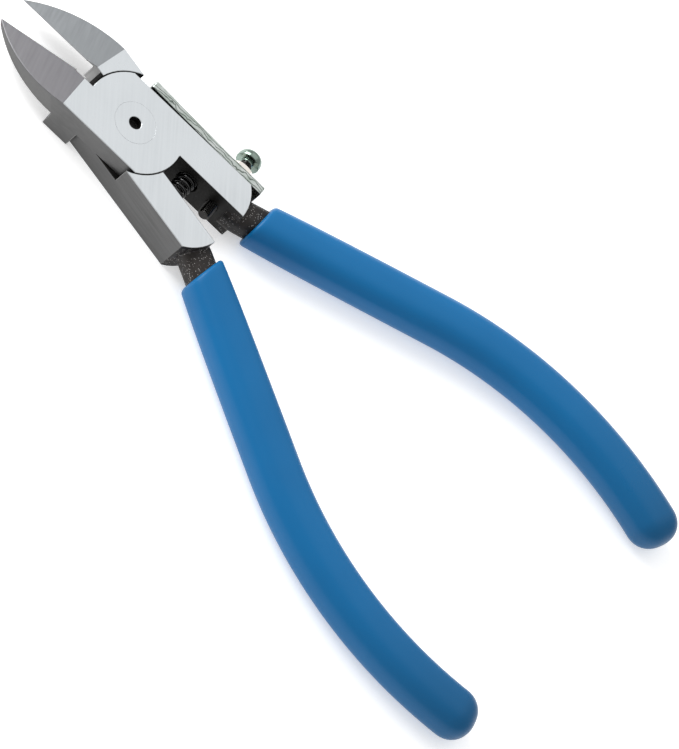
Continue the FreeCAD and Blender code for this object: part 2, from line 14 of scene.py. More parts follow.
import bmesh
import bpy
from mathutils import Matrix, Vector
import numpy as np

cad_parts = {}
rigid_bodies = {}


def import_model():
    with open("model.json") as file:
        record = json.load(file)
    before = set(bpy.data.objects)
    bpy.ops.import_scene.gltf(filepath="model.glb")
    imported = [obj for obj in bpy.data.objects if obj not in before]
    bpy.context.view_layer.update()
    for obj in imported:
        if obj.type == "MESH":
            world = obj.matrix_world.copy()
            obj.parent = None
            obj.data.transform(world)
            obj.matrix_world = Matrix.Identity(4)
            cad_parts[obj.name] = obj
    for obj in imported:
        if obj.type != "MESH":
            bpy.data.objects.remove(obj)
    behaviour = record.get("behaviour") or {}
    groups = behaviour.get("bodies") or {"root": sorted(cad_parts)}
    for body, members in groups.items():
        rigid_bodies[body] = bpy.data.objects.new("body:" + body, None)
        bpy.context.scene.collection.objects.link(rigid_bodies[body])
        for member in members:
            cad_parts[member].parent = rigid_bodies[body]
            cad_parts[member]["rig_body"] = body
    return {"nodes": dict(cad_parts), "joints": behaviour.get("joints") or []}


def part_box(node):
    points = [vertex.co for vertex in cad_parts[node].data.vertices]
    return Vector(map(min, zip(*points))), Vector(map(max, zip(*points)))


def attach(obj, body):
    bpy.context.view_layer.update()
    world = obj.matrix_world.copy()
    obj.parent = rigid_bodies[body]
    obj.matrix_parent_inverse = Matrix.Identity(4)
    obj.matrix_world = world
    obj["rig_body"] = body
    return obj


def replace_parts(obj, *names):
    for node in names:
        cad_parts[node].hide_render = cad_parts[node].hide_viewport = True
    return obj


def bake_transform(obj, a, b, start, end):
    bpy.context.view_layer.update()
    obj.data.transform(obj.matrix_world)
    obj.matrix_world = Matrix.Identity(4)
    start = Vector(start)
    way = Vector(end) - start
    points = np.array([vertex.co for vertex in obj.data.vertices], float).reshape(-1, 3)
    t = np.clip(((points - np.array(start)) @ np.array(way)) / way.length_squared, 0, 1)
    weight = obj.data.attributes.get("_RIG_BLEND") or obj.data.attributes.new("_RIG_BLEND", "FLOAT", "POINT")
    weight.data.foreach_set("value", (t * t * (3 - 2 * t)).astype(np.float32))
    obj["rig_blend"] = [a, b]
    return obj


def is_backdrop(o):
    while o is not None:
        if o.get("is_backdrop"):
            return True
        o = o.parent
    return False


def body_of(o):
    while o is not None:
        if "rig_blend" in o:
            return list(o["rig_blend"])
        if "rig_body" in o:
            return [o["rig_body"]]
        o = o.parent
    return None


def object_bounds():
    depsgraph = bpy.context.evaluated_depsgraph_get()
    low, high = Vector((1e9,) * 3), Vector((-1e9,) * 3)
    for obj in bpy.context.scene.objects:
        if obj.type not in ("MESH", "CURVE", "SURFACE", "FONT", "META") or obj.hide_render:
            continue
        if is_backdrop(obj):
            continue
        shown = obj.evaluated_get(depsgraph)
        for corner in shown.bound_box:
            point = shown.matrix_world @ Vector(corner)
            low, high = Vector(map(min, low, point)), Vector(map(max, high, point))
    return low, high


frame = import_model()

MM = 0.001
FULL_TURN = 2 * math.pi
# Two lengths closer than this are the same.
SAME = 0.02 * MM
# Points of a CAD mesh closer than this are one point, and a cut keeps points this close as they are.
WELD = 0.002 * MM
CUT = 0.001 * MM
# The angles, in degrees, above which a steel edge shows and is eased, and below which faces are one flat.
SHARP_EDGE = 28.0
FLAT = 0.4

Colour = tuple[float, float, float]
Ring = list[Vector]

log = logging.getLogger("pliers")


class Hand(Enum):
    """The side that a lever's handle is on: +Y or -Y."""

    FRONT = 1
    BACK = -1


class Surface(Enum):
    """The finishes on one forged lever, in the order of its material slots."""

    FACE = 0
    BLADE = 1
    SIDE = 2
    INNER = 3
    NECK = 4
    BLADE_SIDE = 5
    ROOT = 6


# ---------------------------------------------------------------------------------------------------
# Node helpers and shared effects
# ---------------------------------------------------------------------------------------------------


class Net:
    """Adds nodes to one node tree and links them."""

    def __init__(self, tree: bpy.types.NodeTree) -> None:
        """Keep the tree that the nodes go in.

        Args:
            tree: the material's or the group's node tree.
        """
        self.tree = tree

    def add(self, kind: str, inputs: dict | None = None, **settings: object) -> bpy.types.Node:
        """Add one node.

        Args:
            kind: the node's type.
            inputs: socket name or number to a value, or to an output socket to link.
            settings: the node's own properties.

        Returns:
            The new node.
        """
        node = self.tree.nodes.new(kind)
        for name, setting in settings.items():
            setattr(node, name, setting)
        for name, given in (inputs or {}).items():
            if isinstance(given, bpy.types.NodeSocket):
                self.link(given, node.inputs[name])
            else:
                node.inputs[name].default_value = given
        return node

    def link(self, giver: bpy.types.NodeSocket, taker: bpy.types.NodeSocket) -> None:
        """Link one socket to another."""
        self.tree.links.new(giver, taker)

    def math(self, operation: str, first: object, second: object = 0.0,
             clamp: bool = False) -> bpy.types.NodeSocket:
        """Add a Math node and return its output."""
        node = self.add("ShaderNodeMath", {0: first, 1: second}, operation=operation, use_clamp=clamp)
        return node.outputs[0]

    def between(self, value: object, low: object, high: object) -> bpy.types.NodeSocket:
        """Add a node that turns 0 to 1 into low to high, and return its output."""
        return self.add("ShaderNodeMapRange", {"Value": value, "To Min": low, "To Max": high}).outputs[0]

    def mix(self, factor: object, first: object, second: object) -> bpy.types.NodeSocket:
        """Add a colour mix.

        Args:
            factor: 0 to 1, or a socket that gives it.
            first: the colour at 0.
            second: the colour at 1.

        Returns:
            The mixed colour's socket.
        """
        node = self.add("ShaderNodeMix", data_type="RGBA")
        for index, given in ((0, factor), (6, first), (7, second)):
            if isinstance(given, bpy.types.NodeSocket):
                self.link(given, node.inputs[index])
            else:
                node.inputs[index].default_value = given if index == 0 else (*given, 1.0)
        return node.outputs[2]


def effect(name: str, inputs: dict[str, float], outputs: Sequence[str],
           fill: Callable[[Net, bpy.types.Node], dict]) -> bpy.types.NodeTree:
    """Build a shared effect once, as a node group with named number sockets.

    Args:
        name: the group's name.
        inputs: the name and default of each input.
        outputs: the name of each output.
        fill: adds the nodes, and returns the socket for each output by name.

    Returns:
        The node group, which later calls find again by its name.
    """
    if name in bpy.data.node_groups:
        return bpy.data.node_groups[name]
    group = bpy.data.node_groups.new(name, "ShaderNodeTree")
    for label, default in inputs.items():
        socket = group.interface.new_socket(label, in_out="INPUT", socket_type="NodeSocketFloat")
        socket.default_value = default
    for label in outputs:
        group.interface.new_socket(label, in_out="OUTPUT", socket_type="NodeSocketFloat")
    net = Net(group)
    entry = net.add("NodeGroupInput")
    leave = net.add("NodeGroupOutput")
    for label, socket in fill(net, entry).items():
        group.links.new(socket, leave.inputs[label])
    return group


def grinding_lines() -> bpy.types.NodeTree:
    """Build the fine parallel lines that a grinding wheel leaves.

    Returns:
        A group with inputs Direction (radians about Z), Density (per metre) and Stretch, and outputs
        Height and Tone, both 0 to 1.
    """

    def fill(net: Net, entry: bpy.types.Node) -> dict:
        """Add the group's nodes.

        Args:
            net: the group's net.
            entry: the node that gives the group's inputs.

        Returns:
            The socket for each output, by name.
        """
        place = net.add("ShaderNodeTexCoord").outputs["Object"]
        turned = net.add("ShaderNodeVectorRotate", {"Vector": place, "Angle": entry.outputs["Direction"]},
                         rotation_type="Z_AXIS").outputs[0]
        along = net.math("DIVIDE", entry.outputs["Density"], entry.outputs["Stretch"])
        scale = net.add("ShaderNodeCombineXYZ",
                        {"X": along, "Y": entry.outputs["Density"], "Z": entry.outputs["Density"]}).outputs[0]
        drawn_out = net.add("ShaderNodeVectorMath", {0: turned, 1: scale}, operation="MULTIPLY").outputs[0]
        fine = net.add("ShaderNodeTexNoise", {"Vector": drawn_out, "Scale": 1.0, "Detail": 3.0}).outputs[0]
        broad = net.add("ShaderNodeTexNoise", {"Vector": drawn_out, "Scale": 0.23, "Detail": 1.0}).outputs[0]
        tone = net.add("ShaderNodeMapRange", {"Value": broad, "From Min": 0.3, "From Max": 0.7}).outputs[0]
        return {"Height": fine, "Tone": tone}

    inputs = {"Direction": 0.0, "Density": 9000.0, "Stretch": 40.0}
    return effect("grinding_lines", inputs, ("Height", "Tone"), fill)


def mottle() -> bpy.types.NodeTree:
    """Build soft cloudy variation, as handling and plating leave.

    Returns:
        A group with inputs Scale (per metre) and Contrast, and outputs Value and Fine, both 0 to 1.
    """

    def fill(net: Net, entry: bpy.types.Node) -> dict:
        """Add the group's nodes.

        Args:
            net: the group's net.
            entry: the node that gives the group's inputs.

        Returns:
            The socket for each output, by name.
        """
        place = net.add("ShaderNodeTexCoord").outputs["Object"]
        scale = entry.outputs["Scale"]
        cloud = net.add("ShaderNodeTexNoise", {"Vector": place, "Scale": scale, "Detail": 4.0})
        quick = net.math("MULTIPLY", scale, 9.0)
        grain = net.add("ShaderNodeTexNoise", {"Vector": place, "Scale": quick, "Detail": 3.0})
        spread = net.math("MULTIPLY", net.math("SUBTRACT", cloud.outputs[0], 0.5), entry.outputs["Contrast"])
        return {"Value": net.math("ADD", spread, 0.5, clamp=True), "Fine": grain.outputs[0]}

    return effect("mottle", {"Scale": 120.0, "Contrast": 2.5}, ("Value", "Fine"), fill)


def specks() -> bpy.types.NodeTree:
    """Build small scattered specks: bright points in scale, or pits in plating.

    Returns:
        A group with inputs Scale (per metre) and Share (0 to 1), and the output Mask.
    """

    def fill(net: Net, entry: bpy.types.Node) -> dict:
        """Add the group's nodes.

        Args:
            net: the group's net.
            entry: the node that gives the group's inputs.

        Returns:
            The socket for each output, by name.
        """
        place = net.add("ShaderNodeTexCoord").outputs["Object"]
        cells = net.add("ShaderNodeTexVoronoi", {"Vector": place, "Scale": entry.outputs["Scale"]})
        near = net.add("ShaderNodeMapRange",
                       {"Value": cells.outputs["Distance"], "From Min": 0.34, "From Max": 0.16}).outputs[0]
        pick = net.add("ShaderNodeSeparateColor", {"Color": cells.outputs["Color"]}).outputs[0]
        chosen = net.math("LESS_THAN", pick, entry.outputs["Share"])
        return {"Mask": net.math("MULTIPLY", near, chosen, clamp=True)}

    return effect("specks", {"Scale": 2600.0, "Share": 0.2}, ("Mask",), fill)


def edge_mask() -> bpy.types.NodeTree:
    """Build a mask of the edges, broken up by noise, for wear and for painted highlight and shade along them.

    Returns:
        A group with inputs Radius (metres), Strength and Clear (metres round the pivot axis that stay
        unmarked), and the output Mask.
    """

    def fill(net: Net, entry: bpy.types.Node) -> dict:
        """Add the group's nodes.

        Args:
            net: the group's net.
            entry: the node that gives the group's inputs.

        Returns:
            The socket for each output, by name.
        """
        eased = net.add("ShaderNodeBevel", {"Radius": entry.outputs["Radius"]}, samples=6).outputs[0]
        flat = net.add("ShaderNodeNewGeometry").outputs["Normal"]
        alike = net.add("ShaderNodeVectorMath", {0: eased, 1: flat}, operation="DOT_PRODUCT").outputs["Value"]
        turned = net.math("MULTIPLY", net.math("SUBTRACT", 1.0, alike), entry.outputs["Strength"])
        place = net.add("ShaderNodeTexCoord").outputs["Object"]
        rubbed = net.add("ShaderNodeTexNoise", {"Vector": place, "Scale": 700.0, "Detail": 4.0}).outputs[0]
        level = net.add("ShaderNodeVectorMath", {0: place, 1: (1.0, 1.0, 0.0)},
                        operation="MULTIPLY").outputs[0]
        from_axis = net.add("ShaderNodeVectorMath", {0: level}, operation="LENGTH").outputs["Value"]
        outside = net.math("GREATER_THAN", from_axis, entry.outputs["Clear"])
        broken = net.math("MULTIPLY", turned, net.between(rubbed, 0.4, 1.6), clamp=True)
        return {"Mask": net.math("MULTIPLY", broken, outside)}

    return effect("edge_mask", {"Radius": 0.25 * MM, "Strength": 6.0, "Clear": 0.0}, ("Mask",), fill)


# ---------------------------------------------------------------------------------------------------
# Finishes
# ---------------------------------------------------------------------------------------------------


@dataclass(frozen=True)
class Finish:
    """What every finish has: a name and the record's material slot."""

    name: str
    slot: str

    def material(self) -> bpy.types.Material:
        """Build the material. Each finish has its own way."""
        raise NotImplementedError

    def start(self, **constants: object) -> tuple[bpy.types.Material, Net, bpy.types.Node]:
        """Begin the material with its shader.

        Args:
            constants: shader socket names, with _ for each space, and their fixed values.

        Returns:
            The material, its net, and the shader node.
        """
        material = bpy.data.materials.new(self.name)
        material.use_nodes = True
        net = Net(material.node_tree)
        shader = material.node_tree.nodes["Principled BSDF"]
        for label, given in constants.items():
            shader.inputs[label.replace("_", " ")].default_value = given
        return material, net, shader

    def group(self, net: Net, tree: bpy.types.NodeTree, **inputs: float) -> bpy.types.Node:
        """Place one shared effect in the material, with its own values."""
        return net.add("ShaderNodeGroup", inputs, node_tree=tree)

    def bump(self, net: Net, shader: bpy.types.Node, height: bpy.types.NodeSocket, depth: float) -> None:
        """Raise the surface by a height from 0 to 1 times depth, in metres."""
        bump = net.add("ShaderNodeBump", {"Height": height, "Distance": depth, "Strength": 1.0})
        net.link(bump.outputs[0], shader.inputs["Normal"])


@dataclass(frozen=True)
class GroundSteel(Finish):
    """Bare steel with grinding lines, cloudy sheen and painted edges: lighter edges are wear plus painted
    highlight, darker ones painted shade.
    """

    colour: Colour = (0.64, 0.67, 0.69)
    shade: Colour = (0.58, 0.61, 0.63)
    # The edge colour: lighter than the steel it is rubbed wear plus a painted highlight along the edges;
    # darker than the steel it is painted shade over the bevel's glint.
    edge: Colour = (0.80, 0.81, 0.82)
    smooth: float = 0.24
    rough: float = 0.36
    direction: float = 0.0
    density: float = 9000.0
    stretch: float = 40.0
    clear: float = 0.0
    depth: float = 0.004 * MM
    cloud_scale: float = 90.0
    cloud_contrast: float = 2.2
    edge_marks_radius: float = 0.22 * MM
    edge_marks_strength: float = 5.0

    def material(self) -> bpy.types.Material:
        """Build the material.

        Returns:
            The material.
        """
        made, net, shader = self.start(Metallic=1.0)
        lines = self.group(net, grinding_lines(), Direction=self.direction, Density=self.density,
                           Stretch=self.stretch)
        cloud = self.group(net, mottle(), Scale=self.cloud_scale, Contrast=self.cloud_contrast)
        edge_marks = self.group(net, edge_mask(), Radius=self.edge_marks_radius, Strength=self.edge_marks_strength,
                          Clear=self.clear)
        tone = net.math("MULTIPLY", lines.outputs["Tone"], cloud.outputs["Value"])
        base = net.mix(tone, self.colour, self.shade)
        # Lay the edge colour along the edges: wear with a painted highlight, and painted shade where the edge
        # colour is darker.
        painted_edges = net.mix(edge_marks.outputs["Mask"], base, self.edge)
        net.link(painted_edges, shader.inputs["Base Color"])
        dull = net.math("MULTIPLY", net.math("ADD", cloud.outputs["Value"], lines.outputs["Height"]), 0.5)
        net.link(net.between(dull, self.smooth, self.rough), shader.inputs["Roughness"])
        self.bump(net, shader, lines.outputs["Height"], self.depth)
        return made


@dataclass(frozen=True)
class ForgedScale(Finish):
    """The dark oxide that forging and hardening leave, with brown patches and bright specks."""

    colour: Colour = (0.006, 0.0055, 0.0055)
    patch: Colour = (0.019, 0.015, 0.013)
    speck: Colour = (0.62, 0.60, 0.58)
    patches: float = 1.0
    share: float = 0.26
    depth: float = 0.03 * MM
    smooth: float = 0.38
    rough: float = 0.66
    cloud_scale: float = 260.0
    cloud_contrast: float = 4.0
    speck_scale: float = 4200.0
    speck_height: float = 0.3
    edge_marks_radius: float = 0.25 * MM
    edge_marks_strength: float = 2.0
    wear_share: float = 0.35

    def material(self) -> bpy.types.Material:
        """Build the material.

        Returns:
            The material.
        """
        made, net, shader = self.start(Metallic=0.35)
        cloud = self.group(net, mottle(), Scale=self.cloud_scale, Contrast=self.cloud_contrast)
        bright = self.group(net, specks(), Scale=self.speck_scale, Share=self.share)
        edge_marks = self.group(net, edge_mask(), Radius=self.edge_marks_radius, Strength=self.edge_marks_strength)
        browned = net.math("MULTIPLY", cloud.outputs["Value"], self.patches)
        base = net.mix(browned, self.colour, self.patch)
        rubbed = net.math("MULTIPLY", edge_marks.outputs["Mask"], self.wear_share)
        lit = net.math("MAXIMUM", bright.outputs["Mask"], rubbed)
        net.link(net.mix(lit, base, self.speck), shader.inputs["Base Color"])
        net.link(net.between(cloud.outputs["Fine"], self.smooth, self.rough), shader.inputs["Roughness"])
        raised = net.math("MULTIPLY", bright.outputs["Mask"], self.speck_height)
        height = net.math("ADD", cloud.outputs["Fine"], raised)
        self.bump(net, shader, height, self.depth)
        return made


@dataclass(frozen=True)
class ZincPlating(Finish):
    """Bright zinc with a faint green bloom and small pits."""

    colour: Colour = (0.78, 0.79, 0.74)
    bloom: Colour = (0.52, 0.60, 0.53)
    smooth: float = 0.16
    rough: float = 0.34
    pit: Colour = (0.12, 0.14, 0.12)
    pit_scale: float = 2100.0
    pit_share: float = 0.25
    pit_strength: float = 0.35
    cloud_scale: float = 330.0
    cloud_contrast: float = 3.0
    depth: float = 0.006 * MM

    def material(self) -> bpy.types.Material:
        """Build the material.

        Returns:
            The material.
        """
        made, net, shader = self.start(Metallic=1.0)
        cloud = self.group(net, mottle(), Scale=self.cloud_scale, Contrast=self.cloud_contrast)
        pits = self.group(net, specks(), Scale=self.pit_scale, Share=self.pit_share)
        base = net.mix(cloud.outputs["Value"], self.colour, self.bloom)
        pitted = net.mix(net.math("MULTIPLY", pits.outputs["Mask"], self.pit_strength), base, self.pit)
        net.link(pitted, shader.inputs["Base Color"])
        net.link(net.between(cloud.outputs["Fine"], self.smooth, self.rough), shader.inputs["Roughness"])
        height = net.math("SUBTRACT", cloud.outputs["Fine"], pits.outputs["Mask"])
        self.bump(net, shader, height, self.depth)
        return made


@dataclass(frozen=True)
class DarkReflectionLine:
    """One painted dark reflection line along a stamped edge, in shares of the strip's thickness.

    The line is centred on middle, fades out width away, and wanders by up to reach.
    """

    middle: float
    width: float
    reach: float


@dataclass(frozen=True)
class StampedZinc(Finish):
    """Bright zinc over a stamped edge, with painted dark reflections as wandering lines along the strip."""

    colour: Colour = (0.55, 0.58, 0.565)
    bloom: Colour = (0.40, 0.45, 0.415)
    # The colour of the painted dark reflection lines.
    line: Colour = (0.025, 0.045, 0.030)
    turn: float = 0.0
    inner: float = 8.25 * MM
    thickness: float = 1.7 * MM
    lines: tuple[DarkReflectionLine, ...] = (DarkReflectionLine(0.14, 0.10, 0.20), DarkReflectionLine(0.50, 0.09, 0.45),
                                    DarkReflectionLine(0.84, 0.07, 0.20))
    wander_scale: float = 280.0
    wander_contrast: float = 2.0
    cloud_scale: float = 700.0
    cloud_contrast: float = 3.5
    faint: float = 0.3
    strong: float = 1.5
    smooth: float = 0.18
    rough: float = 0.36
    depth: float = 0.02 * MM

    def material(self) -> bpy.types.Material:
        """Build the material.

        Returns:
            The material.
        """
        made, net, shader = self.start(Metallic=1.0)
        cloud = self.group(net, mottle(), Scale=self.cloud_scale, Contrast=self.cloud_contrast)
        wander = self.group(net, mottle(), Scale=self.wander_scale, Contrast=self.wander_contrast)
        place = net.add("ShaderNodeTexCoord").outputs["Object"]
        closed = net.add("ShaderNodeVectorRotate", {"Vector": place, "Angle": -self.turn},
                         rotation_type="Z_AXIS").outputs[0]
        outward = net.add("ShaderNodeSeparateXYZ", {0: closed}).outputs[1]
        share = net.math("DIVIDE", net.math("SUBTRACT", outward, self.inner), self.thickness)
        mask = None
        # Painted dark reflections: lines that wander across the edge's thickness.
        for line in self.lines:
            shifted = net.math("MULTIPLY", net.math("SUBTRACT", wander.outputs["Value"], 0.5), 2 * line.reach)
            away = net.math("ABSOLUTE", net.math("SUBTRACT", net.math("ADD", share, shifted), line.middle))
            drawn = net.math("SUBTRACT", 1.0, net.math("DIVIDE", away, line.width), clamp=True)
            mask = drawn if mask is None else net.math("MAXIMUM", mask, drawn)
        broken = net.between(cloud.outputs["Fine"], self.faint, self.strong)
        patchy = net.math("MULTIPLY", mask, broken, clamp=True)
        base = net.mix(cloud.outputs["Value"], self.colour, self.bloom)
        net.link(net.mix(patchy, base, self.line), shader.inputs["Base Color"])
        net.link(net.between(cloud.outputs["Fine"], self.smooth, self.rough), shader.inputs["Roughness"])
        self.bump(net, shader, net.math("SUBTRACT", cloud.outputs["Fine"], patchy), self.depth)
        return made


@dataclass(frozen=True)
class DippedVinyl(Finish):
    """Glossy dipped vinyl with a slight orange-peel skin, and painted shade that deepens it towards the end.
    """

    colour: Colour = (0.003, 0.142, 0.360)
    deep: Colour = (0.003, 0.122, 0.315)
    # Painted shade: the colour deepens towards the sleeve's round end over this stretch along X.
    end_shade: Colour = (0.003, 0.072, 0.175)
    end_shade_from: float = 75.0 * MM
    end_shade_to: float = 130.0 * MM
    smooth: float = 0.26
    rough: float = 0.42
    specular: float = 0.22
    cloud_scale: float = 45.0
    cloud_contrast: float = 2.0
    peel_scale: float = 260.0
    peel_contrast: float = 1.0
    peel_fine: float = 0.25
    peel_depth: float = 0.02 * MM
    scuff_scale: float = 900.0
    scuff_share: float = 0.06
    scuff_strength: float = 0.4

    def material(self) -> bpy.types.Material:
        """Build the material.

        Returns:
            The material.
        """
        made, net, shader = self.start(Metallic=0.0, Specular_IOR_Level=self.specular)
        cloud = self.group(net, mottle(), Scale=self.cloud_scale, Contrast=self.cloud_contrast)
        peel = self.group(net, mottle(), Scale=self.peel_scale, Contrast=self.peel_contrast)
        scuffs = self.group(net, specks(), Scale=self.scuff_scale, Share=self.scuff_share)
        place = net.add("ShaderNodeTexCoord").outputs["Object"]
        along = net.add("ShaderNodeSeparateXYZ", {0: place}).outputs[0]
        reach = self.end_shade_to - self.end_shade_from
        ended = net.math("DIVIDE", net.math("SUBTRACT", along, self.end_shade_from), reach, clamp=True)
        thin = net.mix(cloud.outputs["Value"], self.colour, self.deep)
        # Painted shade deepening the colour towards the sleeve's end.
        end_shaded = net.mix(net.math("MULTIPLY", ended, ended), thin, self.end_shade)
        net.link(end_shaded, shader.inputs["Base Color"])
        scuffed = net.math("MULTIPLY", scuffs.outputs["Mask"], self.scuff_strength)
        dull = net.math("ADD", cloud.outputs["Value"], scuffed, clamp=True)
        net.link(net.between(dull, self.smooth, self.rough), shader.inputs["Roughness"])
        fine = net.math("MULTIPLY", peel.outputs["Fine"], self.peel_fine)
        self.bump(net, shader, net.math("ADD", peel.outputs["Value"], fine), self.peel_depth)
        return made


@dataclass(frozen=True)
class StudioPaper(Finish):
    """The pale paper that the pliers lie on."""

    colour: Colour = (0.90, 0.90, 0.90)
    glow: float = 0.45
    roughness: float = 0.9
    fibre_scale: float = 6.0
    fibre_contrast: float = 1.0
    fibre_shade: float = 0.985

    def material(self) -> bpy.types.Material:
        """Build the material.

        Returns:
            The material.
        """
        made, net, shader = self.start(Roughness=self.roughness, Emission_Color=(1.0, 1.0, 1.0, 1.0),
                                       Emission_Strength=self.glow)
        cloud = self.group(net, mottle(), Scale=self.fibre_scale, Contrast=self.fibre_contrast)
        shade = tuple(self.fibre_shade * part for part in self.colour)
        pale = net.mix(cloud.outputs["Value"], self.colour, shade)
        net.link(pale, shader.inputs["Base Color"])
        return made


FACE_STEEL = GroundSteel("ground_face_steel", "tool_steel", direction=0.9, clear=4.6 * MM)
# The flush facets of both blades are one steel, painted as shaded copies: darker than the face, and the front
# facet darker than the back, for how the light falls on each. Their darker edges are painted shade over the
# bevel's glint.
FRONT_BLADE_SHADED_STEEL = GroundSteel("front_flush_steel_painted_shade", "tool_steel", colour=(0.185, 0.182, 0.192),
                                shade=(0.148, 0.147, 0.155), edge=(0.13, 0.13, 0.13), smooth=0.30, rough=0.42,
                                direction=1.25, density=7000.0, stretch=30.0, depth=0.006 * MM)
BACK_BLADE_SHADED_STEEL = GroundSteel("back_flush_steel_painted_shade", "tool_steel", colour=(0.285, 0.300, 0.312),
                               shade=(0.235, 0.247, 0.258), edge=(0.20, 0.20, 0.20), smooth=0.30, rough=0.42,
                               direction=1.25, density=7000.0, stretch=30.0, depth=0.006 * MM)
# The sides and the blades' sides are the same ground steel, painted dark as shaded copies for faces turned
# from the light; the sides' lighter edges are wear plus a painted highlight.
SIDE_SHADED_STEEL = GroundSteel("ground_side_steel_painted_shade", "tool_steel", colour=(0.132, 0.132, 0.132),
                         shade=(0.107, 0.107, 0.107), edge=(0.40, 0.40, 0.40), smooth=0.36, rough=0.50,
                         direction=0.15, depth=0.006 * MM)
BLADE_SIDE_SHADED_STEEL = GroundSteel("blade_side_steel_painted_shade", "tool_steel", colour=(0.138, 0.138, 0.138),
                               shade=(0.118, 0.118, 0.118), edge=(0.10, 0.10, 0.10), smooth=0.34, rough=0.46,
                               direction=0.9, depth=0.006 * MM)
ROOT_STEEL = GroundSteel("root_steel", "tool_steel", colour=(0.50, 0.50, 0.50), shade=(0.34, 0.34, 0.34),
                         edge=(0.60, 0.60, 0.60), smooth=0.40, rough=0.55, density=4000.0, stretch=2.0,
                         depth=0.01 * MM)
# The black finish of the faces towards the gap, the throat corner and the rivet's hole: partly black scale,
# partly painted shade of the gap between the levers.
BLACK_SCALE_AND_SHADE = ForgedScale("black_scale_and_painted_shade", "tool_steel", colour=(0.008, 0.008, 0.007),
                          patch=(0.014, 0.012, 0.010), speck=(0.10, 0.10, 0.10), patches=0.5, share=0.05)
NECK_SCALE = ForgedScale("forged_neck_scale", "tool_steel")
RIVET_STEEL = GroundSteel("ground_rivet_steel", "rivet_steel", direction=0.9, clear=4.6 * MM)
# The spring is painted near black as shade of the gap between the levers, so that only small glints show on
# it.
SPRING_STEEL = GroundSteel("drawn_spring_steel", "spring_steel", colour=(0.05, 0.05, 0.05),
                           shade=(0.02, 0.02, 0.02), smooth=0.10, rough=0.2, density=5000.0, stretch=6.0,
                           depth=0.002 * MM)
NUT_ZINC = ZincPlating("bright_zinc", "zinc_plate", colour=(0.86, 0.80, 0.76), bloom=(0.74, 0.72, 0.66))
END_ZINC = ZincPlating("sheared_end_zinc", "zinc_plate", colour=(0.05, 0.09, 0.09),
                       bloom=(0.02, 0.045, 0.045))
SCREW_ZINC = ZincPlating("dark_zinc", "zinc_dark", colour=(0.27, 0.34, 0.30), bloom=(0.17, 0.22, 0.19),
                         smooth=0.12, rough=0.26)
# The screw's thread is painted near black, as shade of the gap it stands in.
SHADED_THREAD_ZINC = ZincPlating("thread_zinc_painted_shade", "zinc_dark", colour=(0.065, 0.062, 0.060),
                          bloom=(0.03, 0.03, 0.03), smooth=0.08, rough=0.2)
GRIP_VINYL = DippedVinyl("dipped_vinyl", "blue_vinyl")


# ---------------------------------------------------------------------------------------------------
# Mesh helpers
# ---------------------------------------------------------------------------------------------------


def skin(rings: Sequence[Ring], closed: bool = False) -> bmesh.types.BMesh:
    """Join rings of points into one closed surface.

    Args:
        rings: rings with the same number of points, from one end to the other.
        closed: join the last ring to the first, rather than cap both ends.

    Returns:
        The surface, with its faces turned outwards.
    """
    form = bmesh.new()
    rows = [[form.verts.new(point) for point in ring] for ring in rings]
    pairs = list(zip(rows, rows[1:]))
    if closed:
        pairs.append((rows[-1], rows[0]))
    for below, above in pairs:
        for step, corner in enumerate(below):
            after = (step + 1) % len(below)
            form.faces.new((corner, below[after], above[after], above[step]))
    if not closed:
        form.faces.new(reversed(rows[0]))
        form.faces.new(rows[-1])
    bmesh.ops.recalc_face_normals(form, faces=form.faces)
    return form


def finished_piece(name: str, form: bmesh.types.BMesh, finishes: Sequence[Finish],
                   sharp: float) -> bpy.types.Object:
    """Turn a surface into a piece with its materials.

    Args:
        name: the piece's name.
        form: the surface, which is freed.
        finishes: one finish for each of the surface's material numbers.
        sharp: the angle in degrees above which an edge shows as an edge.

    Returns:
        The new object, in the scene.
    """
    mesh = bpy.data.meshes.new(name)
    form.to_mesh(mesh)
    form.free()
    mesh.shade_smooth()
    mesh.set_sharp_from_angle(angle=math.radians(sharp))
    piece = bpy.data.objects.new(name, mesh)
    bpy.context.scene.collection.objects.link(piece)
    for finish in finishes:
        mesh.materials.append(bpy.data.materials.get(finish.name) or finish.material())
    return piece


def cad_form(node: str) -> bmesh.types.BMesh:
    """Copy a CAD part's shape, with the points along its edges joined.

    Args:
        node: the part's name.

    Returns:
        The copy.
    """
    form = bmesh.new()
    form.from_mesh(frame["nodes"][node].data)
    bmesh.ops.remove_doubles(form, verts=form.verts, dist=WELD)
    for face in form.faces:
        face.material_index = 0
    return form


def merge_flats(form: bmesh.types.BMesh) -> None:
    """Join the triangles of each flat area into one face, within one material."""
    bmesh.ops.dissolve_limit(form, angle_limit=math.radians(FLAT), verts=form.verts, edges=form.edges,
                             delimit={"MATERIAL"})


def ease_edges(piece: bpy.types.Object, width: float) -> bpy.types.BevelModifier:
    """Round a piece's sharp edges with a bevel, and keep its level faces evenly shaded.

    Args:
        piece: the object.
        width: how far the bevel reaches from the edge.

    Returns:
        The bevel.
    """
    bevel = piece.modifiers.new("eased_edges", "BEVEL")
    bevel.width = width
    bevel.segments = 3
    bevel.limit_method = "ANGLE"
    bevel.angle_limit = math.radians(SHARP_EDGE)
    bevel.use_clamp_overlap = False
    bevel.harden_normals = True
    bevel.miter_outer = "MITER_ARC"
    level = piece.modifiers.new("level_shading", "WEIGHTED_NORMAL")
    level.mode = "FACE_AREA"
    level.weight = 100
    level.keep_sharp = True
    return bevel


# ---------------------------------------------------------------------------------------------------
# The pieces
# ---------------------------------------------------------------------------------------------------


